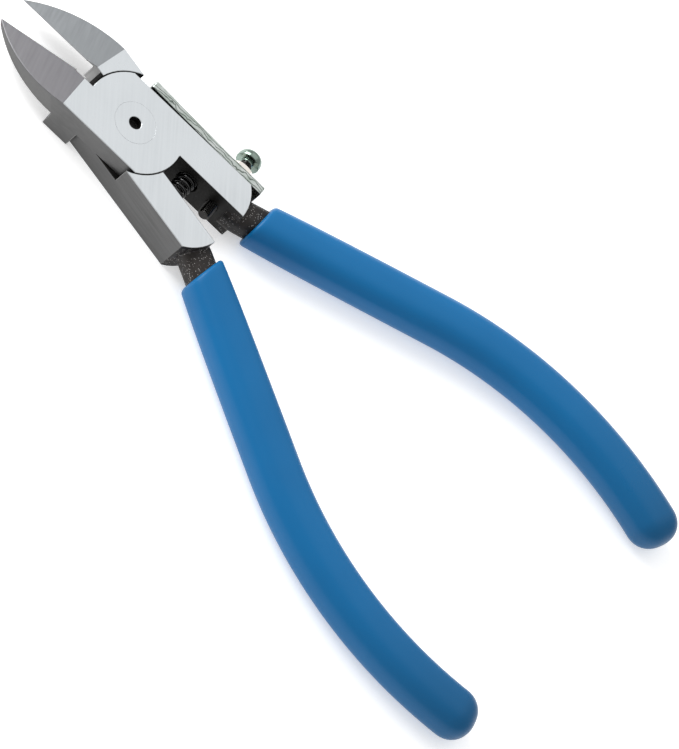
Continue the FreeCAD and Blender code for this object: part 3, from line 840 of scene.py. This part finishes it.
@dataclass(frozen=True)
class Joint:
    """What the frame says about the pivot: how far the levers are open, and the body's thickness."""

    opening: float
    thickness: float

    @classmethod
    def from_frame(cls) -> "Joint":
        """Read the joint's travel and the rivet's height from the frame."""
        travel = next(joint for joint in frame["joints"] if joint["name"] == "jaw_hinge")
        return cls(math.radians(-travel["range_deg"][0]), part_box("pivot_rivet")[1].z)

    def turn(self, hand: Hand) -> Matrix:
        """Return the turn that takes a closed lever to where it lies at rest."""
        return Matrix.Rotation(hand.value * self.opening / 2, 3, "Z")


@dataclass(frozen=True)
class Lever:
    """One forged lever: blade, lap, block and neck, each area with its own finish, some of them painted
    shaded copies of one steel.
    """

    name: str
    node: str
    body: str
    hand: Hand
    joint: Joint
    blade: Finish
    blade_line: float = 12.25 * MM
    inner_face: float = 1.55 * MM
    wall_radius: float = 10.35 * MM
    seat_floor: float = 3.15 * MM
    seat_place: float = 14.5 * MM
    seat_radius: float = 2.25 * MM
    hole_place: float = 20.7 * MM
    hole_radius: float = 1.28 * MM
    neck_start: float = 23.3 * MM
    hole_edge: float = 4.5 * MM
    hole_ease: float = 0.1
    cut_reach: float = 0.05 * MM
    root_corner: float = 11.17 * MM
    root_depth: float = 0.7 * MM
    side_start: tuple[float, float] = (12.3 * MM, 3.7 * MM)
    side_end: tuple[float, float] = (15.0 * MM, 7.6 * MM)
    edge_round: float = 0.16 * MM
    # How far a face's direction leans, as its part along one axis: level, upward or towards the side.
    level_part: float = 0.999
    upward_part: float = 0.9
    outward_part: float = 0.1

    def past_side(self, place: Vector) -> bool:
        """Say whether a place on the closed lever is where the blade's side is ground, past the block's."""
        run, rise = self.side_end[0] - self.side_start[0], self.side_end[1] - self.side_start[1]
        return (-place.x - self.side_start[0]) * rise > (place.z - self.side_start[1]) * run

    def surface(self, centre: Vector, normal: Vector) -> Surface:
        """Choose the finish of a small area of the forging.

        Args:
            centre: the area's middle, in the closed lever's frame, with the handle on +Y.
            normal: its outward direction there.

        Returns:
            The finish.
        """
        level = abs(normal.z) > self.level_part
        if level and (centre.z > self.joint.thickness - SAME or centre.z < SAME):
            return Surface.FACE
        if centre.x > self.neck_start:
            return Surface.NECK
        if centre.x < -self.blade_line and normal.z > self.upward_part:
            return Surface.BLADE
        if centre.x < -self.blade_line and normal.y < -self.outward_part:
            return Surface.BLADE_SIDE if self.past_side(centre) else Surface.SIDE
        # In the throat the root face stays grey, and the corner past root_corner takes the black finish as
        # painted shade of the dark gap.
        if centre.x < -self.wall_radius and abs(centre.y) < self.root_depth:
            return Surface.ROOT if centre.x < -self.root_corner else Surface.INNER
        if level:
            return Surface.INNER
        middle = self.joint.thickness / 2
        on_wall = abs(math.hypot(centre.x, centre.y) - self.wall_radius) < 4 * SAME
        on_inner = abs(centre.y - self.inner_face) < SAME or abs(centre.y - self.seat_floor) < SAME
        in_seat = (math.hypot(centre.x - self.seat_place, centre.z - middle) < self.seat_radius + SAME
                   and centre.y < self.seat_floor)
        in_hole = math.hypot(centre.x - self.hole_place, centre.z - middle) < self.hole_radius + SAME
        # Faces towards the gap, the wall, the spring seat and the screw hole take the black finish: scale
        # plus painted shade.
        if on_wall or on_inner or in_seat or in_hole:
            return Surface.INNER
        return Surface.SIDE

    def build(self) -> bpy.types.Object:
        """Make the lever's mesh, dress it and set it on its body.

        Returns:
            The lever.
        """
        form = cad_form(self.node)
        rest = self.joint.turn(self.hand)
        mirror = Matrix.Diagonal((1, self.hand.value, 1))
        slope = Vector((self.side_start[1] - self.side_end[1], 0, self.side_start[0] - self.side_end[0]))
        for reach, level, across in ((self.root_corner, 0.0, Vector((1, 0, 0))), (*self.side_start, slope)):
            bmesh.ops.bisect_plane(form, geom=[*form.verts, *form.edges, *form.faces], dist=CUT,
                                   plane_co=rest @ Vector((-reach, 0, level)), plane_no=rest @ across)
        closed = rest.inverted()
        for face in form.faces:
            centre = mirror @ (closed @ face.calc_center_median())
            normal = mirror @ (closed @ face.normal)
            face.material_index = self.surface(centre, normal).value
        merge_flats(form)
        eased = form.edges.layers.float.new("bevel_weight_edge")
        for edge in form.edges:
            middle = (edge.verts[0].co + edge.verts[1].co) / 2
            at_hole = math.hypot(middle.x, middle.y) < self.hole_edge
            at_cut = all(abs((closed @ end.co).y) < self.cut_reach for end in edge.verts) and middle.x < 0
            is_sharp = edge.calc_face_angle(0.0) > math.radians(SHARP_EDGE)
            edge[eased] = (self.hole_ease if at_hole or at_cut else 1.0) if is_sharp else 0.0
        finishes = (FACE_STEEL, self.blade, SIDE_SHADED_STEEL, BLACK_SCALE_AND_SHADE, NECK_SCALE, BLADE_SIDE_SHADED_STEEL, ROOT_STEEL)
        piece = finished_piece(self.name, form, finishes, sharp=SHARP_EDGE)
        ease_edges(piece, self.edge_round).limit_method = "WEIGHT"
        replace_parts(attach(piece, self.body), self.node)
        return piece


@dataclass(frozen=True)
class Rivet:
    """The pivot rivet, ground flush, with its centre hole in the black finish: scale plus painted shade."""

    joint: Joint
    hole_radius: float = 1.24 * MM
    edge_round: float = 0.15 * MM

    def build(self) -> bpy.types.Object:
        """Make the rivet's mesh, dress it and set it on its body.

        Returns:
            The rivet.
        """
        form = cad_form("pivot_rivet")
        for face in form.faces:
            centre = face.calc_center_median()
            in_hole = math.hypot(centre.x, centre.y) < self.hole_radius + SAME
            if in_hole and SAME < centre.z < self.joint.thickness - SAME:
                face.material_index = 1
        merge_flats(form)
        eased = form.edges.layers.float.new("bevel_weight_edge")
        for edge in form.edges:
            middle = (edge.verts[0].co + edge.verts[1].co) / 2
            at_rim = math.hypot(middle.x, middle.y) < self.hole_radius + SAME
            edge[eased] = 1.0 if at_rim and edge.calc_face_angle(0.0) > math.radians(SHARP_EDGE) else 0.0
        piece = finished_piece("flush_rivet", form, (RIVET_STEEL, BLACK_SCALE_AND_SHADE), sharp=SHARP_EDGE)
        ease_edges(piece, self.edge_round).limit_method = "WEIGHT"
        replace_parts(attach(piece, "back_half"), "pivot_rivet")
        return piece


@dataclass(frozen=True)
class Plate:
    """The stopper plate, stamped from strip and cut off at its ends."""

    joint: Joint
    edge_round: float = 0.12 * MM
    end_part: float = 0.99

    def build(self) -> bpy.types.Object:
        """Make the plate's mesh, dress it and set it on its body.

        Returns:
            The plate.
        """
        form = cad_form("stopper_plate")
        closed = self.joint.turn(Hand.FRONT).inverted()
        for face in form.faces:
            face.material_index = int(abs((closed @ face.normal).x) > self.end_part)
        merge_flats(form)
        strip = StampedZinc("stamped_zinc", "zinc_plate", turn=self.joint.opening / 2)
        piece = finished_piece("stamped_stopper_plate", form, (strip, END_ZINC), sharp=SHARP_EDGE)
        ease_edges(piece, self.edge_round)
        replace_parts(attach(piece, "front_half"), "stopper_plate")
        return piece


@dataclass(frozen=True)
class Grip:
    """One dipped sleeve: a rounded section along the handle's bow, with a rolled mouth and a round end."""

    name: str
    node: str
    body: str
    hand: Hand
    joint: Joint
    neck_start: float = 23.4 * MM
    neck_middle: float = 3.95 * MM
    neck_bend: float = 10 * MM
    splay: float = math.radians(19.6)
    straight_run: float = 41.65 * MM
    bow_radius: float = 82.6 * MM
    bow_angle: float = math.radians(41.6)
    mouth: float = 29.3 * MM
    mouth_taper: float = 0.11
    taper_reach: float = 9.0 * MM
    width: float = 9.8 * MM
    depth: float = 8.0 * MM
    roundness: float = 2.6
    wall: float = 1.66 * MM
    lip: float = 0.75 * MM
    nose: float = 4.6 * MM
    end_wall: float = 3.0 * MM
    around: int = 72
    along: int = 110
    bore_shares: tuple[float, ...] = (0.9, 0.6, 0.3, 0.1, 0.02)
    lip_steps: int = 7
    nose_steps: int = 16
    nose_power: float = 0.85
    sharp: float = 60.0
    mouth_passes: int = 8

    @property
    def length(self) -> float:
        """Return the length of the handle's centreline from the neck to its end."""
        return self.neck_bend * self.splay + self.straight_run + self.bow_radius * self.bow_angle

    def centreline(self, reach: float) -> tuple[Vector, float]:
        """Find a point on the closed lever's centreline.

        Args:
            reach: the distance along it from the neck.

        Returns:
            The point and the line's direction there, in radians from +X.
        """
        bend = self.neck_bend * self.splay
        turned = min(max(reach, 0.0), bend) / self.neck_bend
        place = Vector((self.neck_start + self.neck_bend * math.sin(turned),
                        self.neck_middle + self.neck_bend * (1 - math.cos(turned)), self.joint.thickness / 2))
        run = min(max(reach - bend, 0.0), self.straight_run)
        place += run * Vector((math.cos(self.splay), math.sin(self.splay), 0))
        bow = max(reach - bend - self.straight_run, 0.0) / self.bow_radius
        heading = turned - bow
        place += self.bow_radius * Vector((math.sin(self.splay) - math.sin(self.splay - bow),
                                           math.cos(self.splay - bow) - math.cos(self.splay), 0))
        return place, heading

    def outline(self, shrink: float) -> list[tuple[float, float]]:
        """Draw the section, an oval between round and square.

        Args:
            shrink: how far it is drawn in on every side.

        Returns:
            The section's points, each across and up.
        """
        half_width = self.width / 2 - shrink
        half_depth = self.depth / 2 - shrink
        power = 2 / self.roundness
        points = []
        for step in range(self.around):
            angle = FULL_TURN * (step + 0.5) / self.around
            side, rise = math.cos(angle), math.sin(angle)
            points.append((math.copysign(half_width * abs(side) ** power, side),
                           math.copysign(half_depth * abs(rise) ** power, rise)))
        return points

    def mouth_reach(self, across: float, plane: float) -> float:
        """Find where the line through a point beside the centreline meets an upright plane.

        Args:
            across: how far the point is to the side of the centreline.
            plane: the plane's distance from the pivot.

        Returns:
            The distance along the centreline.
        """
        reach = plane - self.neck_start
        for _ in range(self.mouth_passes):
            place, heading = self.centreline(reach)
            reach += (plane - place.x + across * math.sin(heading)) / math.cos(heading)
        return reach

    def ring(self, share: float, shrink: float, scale: float, end: float) -> Ring:
        """Make one ring of points.

        Args:
            share: how far along the sleeve it is, from 0 at the mouth to 1 at its end.
            shrink: how far the section is drawn in.
            scale: the section's scale about the centreline.
            end: the reach of the end.

        Returns:
            The ring's points, in the row's frame.
        """
        turn = self.joint.turn(self.hand)
        points = []
        for across, rise in self.outline(shrink):
            start = self.mouth_reach(across, self.mouth)
            reach = start + share * (end - start)
            place, heading = self.centreline(reach)
            narrowed = scale * (1 - self.mouth_taper * math.exp(-(reach - start) / self.taper_reach))
            offset = Vector((-math.sin(heading), math.cos(heading), 0)) * across * narrowed
            point = place + offset + Vector((0, 0, rise * scale))
            point.y *= self.hand.value
            points.append(turn @ point)
        return points

    def rings(self) -> list[Ring]:
        """Make all the rings.

        Returns:
            The rings from the bottom of the bore, out round the lip and along to the end.
        """
        bore_end = self.length - self.end_wall
        span = self.length - self.mouth_reach(0.0, self.mouth)
        made = [self.ring(share, self.wall, 1.0, bore_end) for share in self.bore_shares]
        for step in range(self.lip_steps + 1):
            angle = math.pi * step / self.lip_steps
            drawn_in = self.wall / 2 * (1 + math.cos(angle))
            made.append(self.ring(self.lip * (1 - math.sin(angle)) / span, drawn_in, 1.0, self.length))
        body = span - self.lip - self.nose
        for step in range(1, self.along + 1):
            made.append(self.ring((self.lip + body * step / self.along) / span, 0.0, 1.0, self.length))
        for step in range(1, self.nose_steps):
            angle = math.pi / 2 * step / self.nose_steps
            made.append(self.ring(1 - self.nose * (1 - math.sin(angle)) / span, 0.0,
                                  math.cos(angle) ** self.nose_power, self.length))
        return made

    def build(self) -> bpy.types.Object:
        """Make the sleeve's mesh, dress it and set it on its body.

        Returns:
            The sleeve.
        """
        piece = finished_piece(self.name, skin(self.rings()), (GRIP_VINYL,), sharp=self.sharp)
        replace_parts(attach(piece, self.body), self.node)
        return piece


@dataclass(frozen=True)
class Spring:
    """The return spring, a coil with closed ends that stands across the gap."""

    coil_radius: float = 1.7 * MM
    wire_radius: float = 0.3 * MM
    turns: float = 7.2
    closed_turns: float = 0.85
    closed_pitch: float = 0.66 * MM
    steps_a_turn: int = 40
    around: int = 12
    sharp: float = 50.0

    def height(self, turned: float, length: float) -> float:
        """Find the wire's height after some turns, with a lower pitch at both ends.

        Args:
            turned: the number of turns from the foot.
            length: the height of the last turn.

        Returns:
            The height.
        """
        free_turns = self.turns - 2 * self.closed_turns
        free_pitch = (length - 2 * self.closed_turns * self.closed_pitch) / free_turns
        first = min(turned, self.closed_turns) * self.closed_pitch
        middle = min(max(turned - self.closed_turns, 0.0), free_turns) * free_pitch
        last = max(turned - self.closed_turns - free_turns, 0.0) * self.closed_pitch
        return first + middle + last

    def build(self) -> bpy.types.Object:
        """Make the spring's mesh, dress it and let it bend between the two halves.

        Returns:
            The spring.
        """
        low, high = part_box("return_spring")
        foot = Vector(((low.x + high.x) / 2, low.y + self.wire_radius, (low.z + high.z) / 2))
        length = high.y - low.y - 2 * self.wire_radius
        total = round(self.turns * self.steps_a_turn)
        rings = []
        for step in range(total + 1):
            turned = step / self.steps_a_turn
            angle = FULL_TURN * turned
            outward = Vector((math.cos(angle), 0, -math.sin(angle)))
            centre = foot + self.coil_radius * outward + Vector((0, self.height(turned, length), 0))
            rings.append([
                centre + self.wire_radius * (math.cos(FULL_TURN * side / self.around) * outward
                                             + Vector((0, math.sin(FULL_TURN * side / self.around), 0)))
                for side in range(self.around)
            ])
        piece = finished_piece("coil_spring", skin(rings), (SPRING_STEEL,), sharp=self.sharp)
        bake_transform(piece, "back_half", "front_half", start=(foot.x, low.y, foot.z),
                 end=(foot.x, high.y, foot.z))
        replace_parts(piece, "return_spring")
        return piece


@dataclass(frozen=True)
class StopHardware:
    """The stop screw and its lock nut, both turned about the screw's axis."""

    joint: Joint
    place: float = 20.7 * MM
    tip: float = -1.4 * MM
    nut_seat: float = 9.95 * MM
    nut_height: float = 2.0 * MM
    nut_flats: float = 5.0 * MM
    nut_bore: float = 1.28 * MM
    nut_bore_chamfer: float = 0.2 * MM
    nut_corner_slope: float = math.radians(30)
    nut_corner_start: float = 0.97
    nut_corner_shares: tuple[float, ...] = (0.0, 0.35, 0.7, 1.0)
    nut_side_levels: tuple[float, ...] = (0.4, 0.6)
    nut_sharp: float = 24.0
    head_seat: float = 14.3 * MM
    shank_radius: float = 1.25 * MM
    pitch: float = 0.45 * MM
    thread_depth: float = 0.24 * MM
    thread_flank: float = 1.6
    thread_runout: float = 0.3
    rows_a_turn: int = 8
    tip_chamfer: float = 0.3 * MM
    tip_shares: tuple[float, ...] = (0.05, 0.95)
    head_radius: float = 2.45 * MM
    head_rim: float = 0.7 * MM
    head_height: float = 2.1 * MM
    dome_flat: float = 1.3 * MM
    recess_half_span: float = 1.3 * MM
    recess_half_width: float = 0.28 * MM
    recess_depth: float = 1.1 * MM
    recess_wall: float = 0.16 * MM
    rim_round: float = 0.12 * MM
    rim_shoulder: float = 0.3
    dome_steps: int = 12
    top_steps: int = 34
    screw_sharp: float = 40.0
    around: int = 96

    def ring(self, radius: Callable[[float], float], height: Callable[[float], float]) -> Ring:
        """Make one ring of points about the screw's axis.

        Args:
            radius: the distance from the axis at each angle.
            height: the distance along the axis at each angle, in the closed lever's frame.

        Returns:
            The ring's points, in the row's frame.
        """
        turn = self.joint.turn(Hand.FRONT)
        points = []
        for step in range(self.around):
            angle = FULL_TURN * step / self.around
            spot = Vector((self.place + radius(angle) * math.cos(angle), height(angle),
                           self.joint.thickness / 2 + radius(angle) * math.sin(angle)))
            points.append(turn @ spot)
        return points

    def plain_ring(self, radius: float, height: float) -> Ring:
        """Make one round, level ring."""
        return self.ring(lambda angle: radius, lambda angle: height)

    def thread_radius(self, angle: float, height: float) -> float:
        """Find the thread's radius, chamfered at the tip and faded out under the head.

        Args:
            angle: the angle about the screw's axis.
            height: the distance along the axis.

        Returns:
            The radius.
        """
        phase = (height / self.pitch - angle / FULL_TURN) % 1.0
        cut = self.thread_depth * min(1.0, self.thread_flank * abs(2 * phase - 1))
        from_tip = (height - self.tip) / self.tip_chamfer
        from_head = (self.head_seat - height) / self.pitch
        fade = min(1.0, max(0.0, from_head - self.thread_runout))
        chamfered = self.shank_radius - self.tip_chamfer * max(0.0, 1 - from_tip)
        return min(self.shank_radius - cut * fade, chamfered)

    def recess(self, across: float, along: float) -> float:
        """Find the depth of the cross recess at a place on the head's top.

        Args:
            across: the place's distance from the axis along one arm of the cross.
            along: the same, along the other arm.

        Returns:
            The depth, which is 0 outside the recess.
        """
        arms = (min(self.recess_half_width - abs(across), self.recess_half_span - abs(along)),
                min(self.recess_half_width - abs(along), self.recess_half_span - abs(across)))
        inside = min(max(max(arms) / self.recess_wall, 0.0), 1.0)
        return self.recess_depth * inside * inside * (3 - 2 * inside)

    def dome(self, radius: float) -> float:
        """Find the height of the head's top.

        Args:
            radius: the distance from the axis.

        Returns:
            The height along the axis.
        """
        outward = max(0.0, (radius - self.dome_flat) / (self.head_radius - self.dome_flat))
        fall = (self.head_height - self.head_rim) * (1 - math.sqrt(max(0.0, 1 - outward * outward)))
        return self.head_seat + self.head_height - fall

    def build_screw(self) -> bpy.types.Object:
        """Make the screw's mesh, dress it and set it on its body.

        Returns:
            The screw.
        """
        tip_radius = self.shank_radius - self.tip_chamfer
        rings = [self.plain_ring(share * tip_radius, self.tip) for share in self.tip_shares]
        rows = round((self.head_seat - self.tip) / self.pitch * self.rows_a_turn)
        for row in range(rows + 1):
            height = self.tip + (self.head_seat - self.tip) * row / rows
            rings.append(self.ring(lambda angle, height=height: self.thread_radius(angle, height),
                                   lambda angle, height=height: height))
        edge = self.rim_round
        shoulder = self.rim_shoulder * edge
        for radius, height in ((self.head_radius - edge, self.head_seat),
                               (self.head_radius - shoulder, self.head_seat + shoulder),
                               (self.head_radius, self.head_seat + edge),
                               (self.head_radius, self.head_seat + self.head_rim)):
            rings.append(self.plain_ring(radius, height))
        for step in range(1, self.dome_steps + 1):
            angle = math.pi / 2 * (1 - step / self.dome_steps)
            radius = self.dome_flat + (self.head_radius - self.dome_flat) * math.sin(angle)
            rings.append(self.plain_ring(radius, self.dome(radius)))
        for step in range(self.top_steps - 1, 0, -1):
            radius = self.dome_flat * step / self.top_steps
            rings.append(self.ring(
                lambda angle, radius=radius: radius,
                lambda angle, radius=radius: self.dome(radius) - self.recess(radius * math.cos(angle),
                                                                             radius * math.sin(angle))))
        form = skin(rings)
        closed = self.joint.turn(Hand.FRONT).inverted()
        # The shank below the head takes the near-black zinc, painted shade of the gap.
        for face in form.faces:
            face.material_index = int((closed @ face.calc_center_median()).y < self.head_seat - self.pitch)
        piece = finished_piece("pan_head_stop_screw", form, (SCREW_ZINC, SHADED_THREAD_ZINC), sharp=self.screw_sharp)
        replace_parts(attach(piece, "screw"), "stop_screw")
        return piece

    def hexagon(self, angle: float) -> float:
        """Find the distance from the axis to the nut's hexagon, which has a flat facing front.

        Args:
            angle: the angle about the axis.

        Returns:
            The distance.
        """
        sixth = FULL_TURN / 6
        off_flat = (angle - math.pi / 2 + sixth / 2) % sixth - sixth / 2
        return self.nut_flats / 2 / math.cos(off_flat)

    def build_nut(self) -> bpy.types.Object:
        """Make the nut's mesh, dress it and set it on its body.

        Returns:
            The nut.
        """
        top = self.nut_seat + self.nut_height
        start = self.nut_flats / 2 * self.nut_corner_start
        slope = math.tan(self.nut_corner_slope)

        def inset(angle: float, share: float) -> float:
            """Return the corner chamfer's reach at an angle, from its start at 0 to the hexagon at 1."""
            return start + share * (self.hexagon(angle) - start)

        def fall(angle: float, share: float) -> float:
            """Return how far the corner chamfer has fallen away there."""
            return slope * (inset(angle, share) - start)

        bore, chamfer = self.nut_bore, self.nut_bore_chamfer
        rings = [self.plain_ring(bore, self.nut_seat + chamfer),
                 self.plain_ring(bore + chamfer, self.nut_seat)]
        rings += [self.ring(lambda angle, share=share: inset(angle, share),
                            lambda angle, share=share: self.nut_seat + fall(angle, share))
                  for share in self.nut_corner_shares]
        rings += [self.ring(self.hexagon, lambda angle, level=level: self.nut_seat + self.nut_height * level)
                  for level in self.nut_side_levels]
        rings += [self.ring(lambda angle, share=share: inset(angle, share),
                            lambda angle, share=share: top - fall(angle, share))
                  for share in reversed(self.nut_corner_shares)]
        rings += [self.plain_ring(bore + chamfer, top), self.plain_ring(bore, top - chamfer)]
        form = skin(rings, closed=True)
        piece = finished_piece("hexagon_lock_nut", form, (NUT_ZINC,), sharp=self.nut_sharp)
        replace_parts(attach(piece, "front_half"), "lock_nut")
        return piece


# ---------------------------------------------------------------------------------------------------
# The studio
# ---------------------------------------------------------------------------------------------------


@dataclass(frozen=True)
class Lamp:
    """One soft rectangular light, aimed at the pliers."""

    name: str
    place: tuple[float, float, float]
    size: tuple[float, float]
    power: float
    colour: Colour = (1.0, 1.0, 1.0)

    def build(self, target: Vector) -> None:
        """Hang the light and aim it.

        Args:
            target: the point that it is placed from and aimed at.
        """
        light = bpy.data.lights.new(self.name, "AREA")
        light.shape = "RECTANGLE"
        light.size, light.size_y = self.size
        light.energy = self.power
        light.color = self.colour
        lamp = bpy.data.objects.new(self.name, light)
        lamp.location = target + Vector(self.place)
        lamp.rotation_euler = (target - lamp.location).to_track_quat("-Z", "Y").to_euler()
        lamp.visible_camera = False
        bpy.context.scene.collection.objects.link(lamp)


@dataclass(frozen=True)
class Studio:
    """The floor, the lights, the room's even light and the camera."""

    floor_reach: float = 6.0
    floor_rows: int = 24
    floor_columns: tuple[float, ...] = (-1.0, -0.2, 0.2, 1.0)
    room_light: float = 0.62
    camera_place: tuple[float, float, float] = (-0.0045, -1.4918, 1.9276)
    camera_right: tuple[float, float, float] = (0.66074, 0.58239, 0.47355)
    camera_down: tuple[float, float, float] = (0.75016, -0.53423, -0.38968)
    lens: float = 709.6
    sensor: float = 36.0
    lamps: tuple[Lamp, ...] = (
        Lamp("key_light", (-0.46, 0.08, 0.28), (0.4, 0.4), 3.1),
        Lamp("face_light", (0.05, 1.10, 1.42), (1.6, 1.6), 3.8),
    )

    def build_floor(self) -> None:
        """Lay a level pale floor."""
        form = bmesh.new()
        rows = []
        for row in range(self.floor_rows + 1):
            along = self.floor_reach * (2 * row / self.floor_rows - 1)
            rows.append([form.verts.new((side * self.floor_reach, along, 0)) for side in self.floor_columns])
        for below, above in zip(rows, rows[1:]):
            for step in range(len(below) - 1):
                form.faces.new((below[step], below[step + 1], above[step + 1], above[step]))
        mesh = bpy.data.meshes.new("studio_floor")
        form.to_mesh(mesh)
        form.free()
        mesh.materials.append(StudioPaper("studio_paper", "").material())
        floor = bpy.data.objects.new("studio_floor", mesh)
        bpy.context.scene.collection.objects.link(floor)
        floor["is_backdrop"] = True

    def build_room(self) -> None:
        """Fill the room with even white light and set plain colour."""
        world = bpy.data.worlds.new("white_room")
        world.use_nodes = True
        sky = world.node_tree.nodes["Background"]
        sky.inputs["Color"].default_value = (1.0, 1.0, 1.0, 1.0)
        sky.inputs["Strength"].default_value = self.room_light
        bpy.context.scene.world = world
        bpy.context.scene.view_settings.view_transform = "Standard"

    def build_camera(self) -> None:
        """Set up the camera, rolled as the view is."""
        right = Vector(self.camera_right).normalized()
        up = -Vector(self.camera_down).normalized()
        toward = right.cross(up)
        data = bpy.data.cameras.new("studio_camera")
        data.lens = self.lens
        data.sensor_fit = "HORIZONTAL"
        data.sensor_width = self.sensor
        camera = bpy.data.objects.new("studio_camera", data)
        turn = Matrix((right, up, toward)).transposed().to_4x4()
        camera.matrix_world = Matrix.Translation(Vector(self.camera_place)) @ turn
        bpy.context.scene.collection.objects.link(camera)
        bpy.context.scene.camera = camera

    def build(self) -> None:
        """Build the whole studio round the pliers."""
        low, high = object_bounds()
        self.build_floor()
        self.build_room()
        for lamp in self.lamps:
            lamp.build((low + high) / 2)
        self.build_camera()


def main() -> None:
    """Build the pliers and the studio, and report each piece."""
    logging.basicConfig(level=logging.INFO, format="%(name)s: %(message)s")
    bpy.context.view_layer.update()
    joint = Joint.from_frame()
    hardware = StopHardware(joint)
    makers = (
        Lever("front_forging", "front_lever", "front_half", Hand.FRONT, joint, FRONT_BLADE_SHADED_STEEL).build,
        Lever("back_forging", "back_lever", "back_half", Hand.BACK, joint, BACK_BLADE_SHADED_STEEL).build,
        Rivet(joint).build,
        Plate(joint).build,
        Spring().build,
        hardware.build_screw,
        hardware.build_nut,
        Grip("front_dipped_grip", "front_grip", "front_half", Hand.FRONT, joint).build,
        Grip("back_dipped_grip", "back_grip", "back_half", Hand.BACK, joint).build,
    )
    for make in makers:
        piece = make()
        log.info("%s: %d points, %s", piece.name, len(piece.data.vertices), body_of(piece))
    Studio().build()


if __name__ == "__main__":
    main()
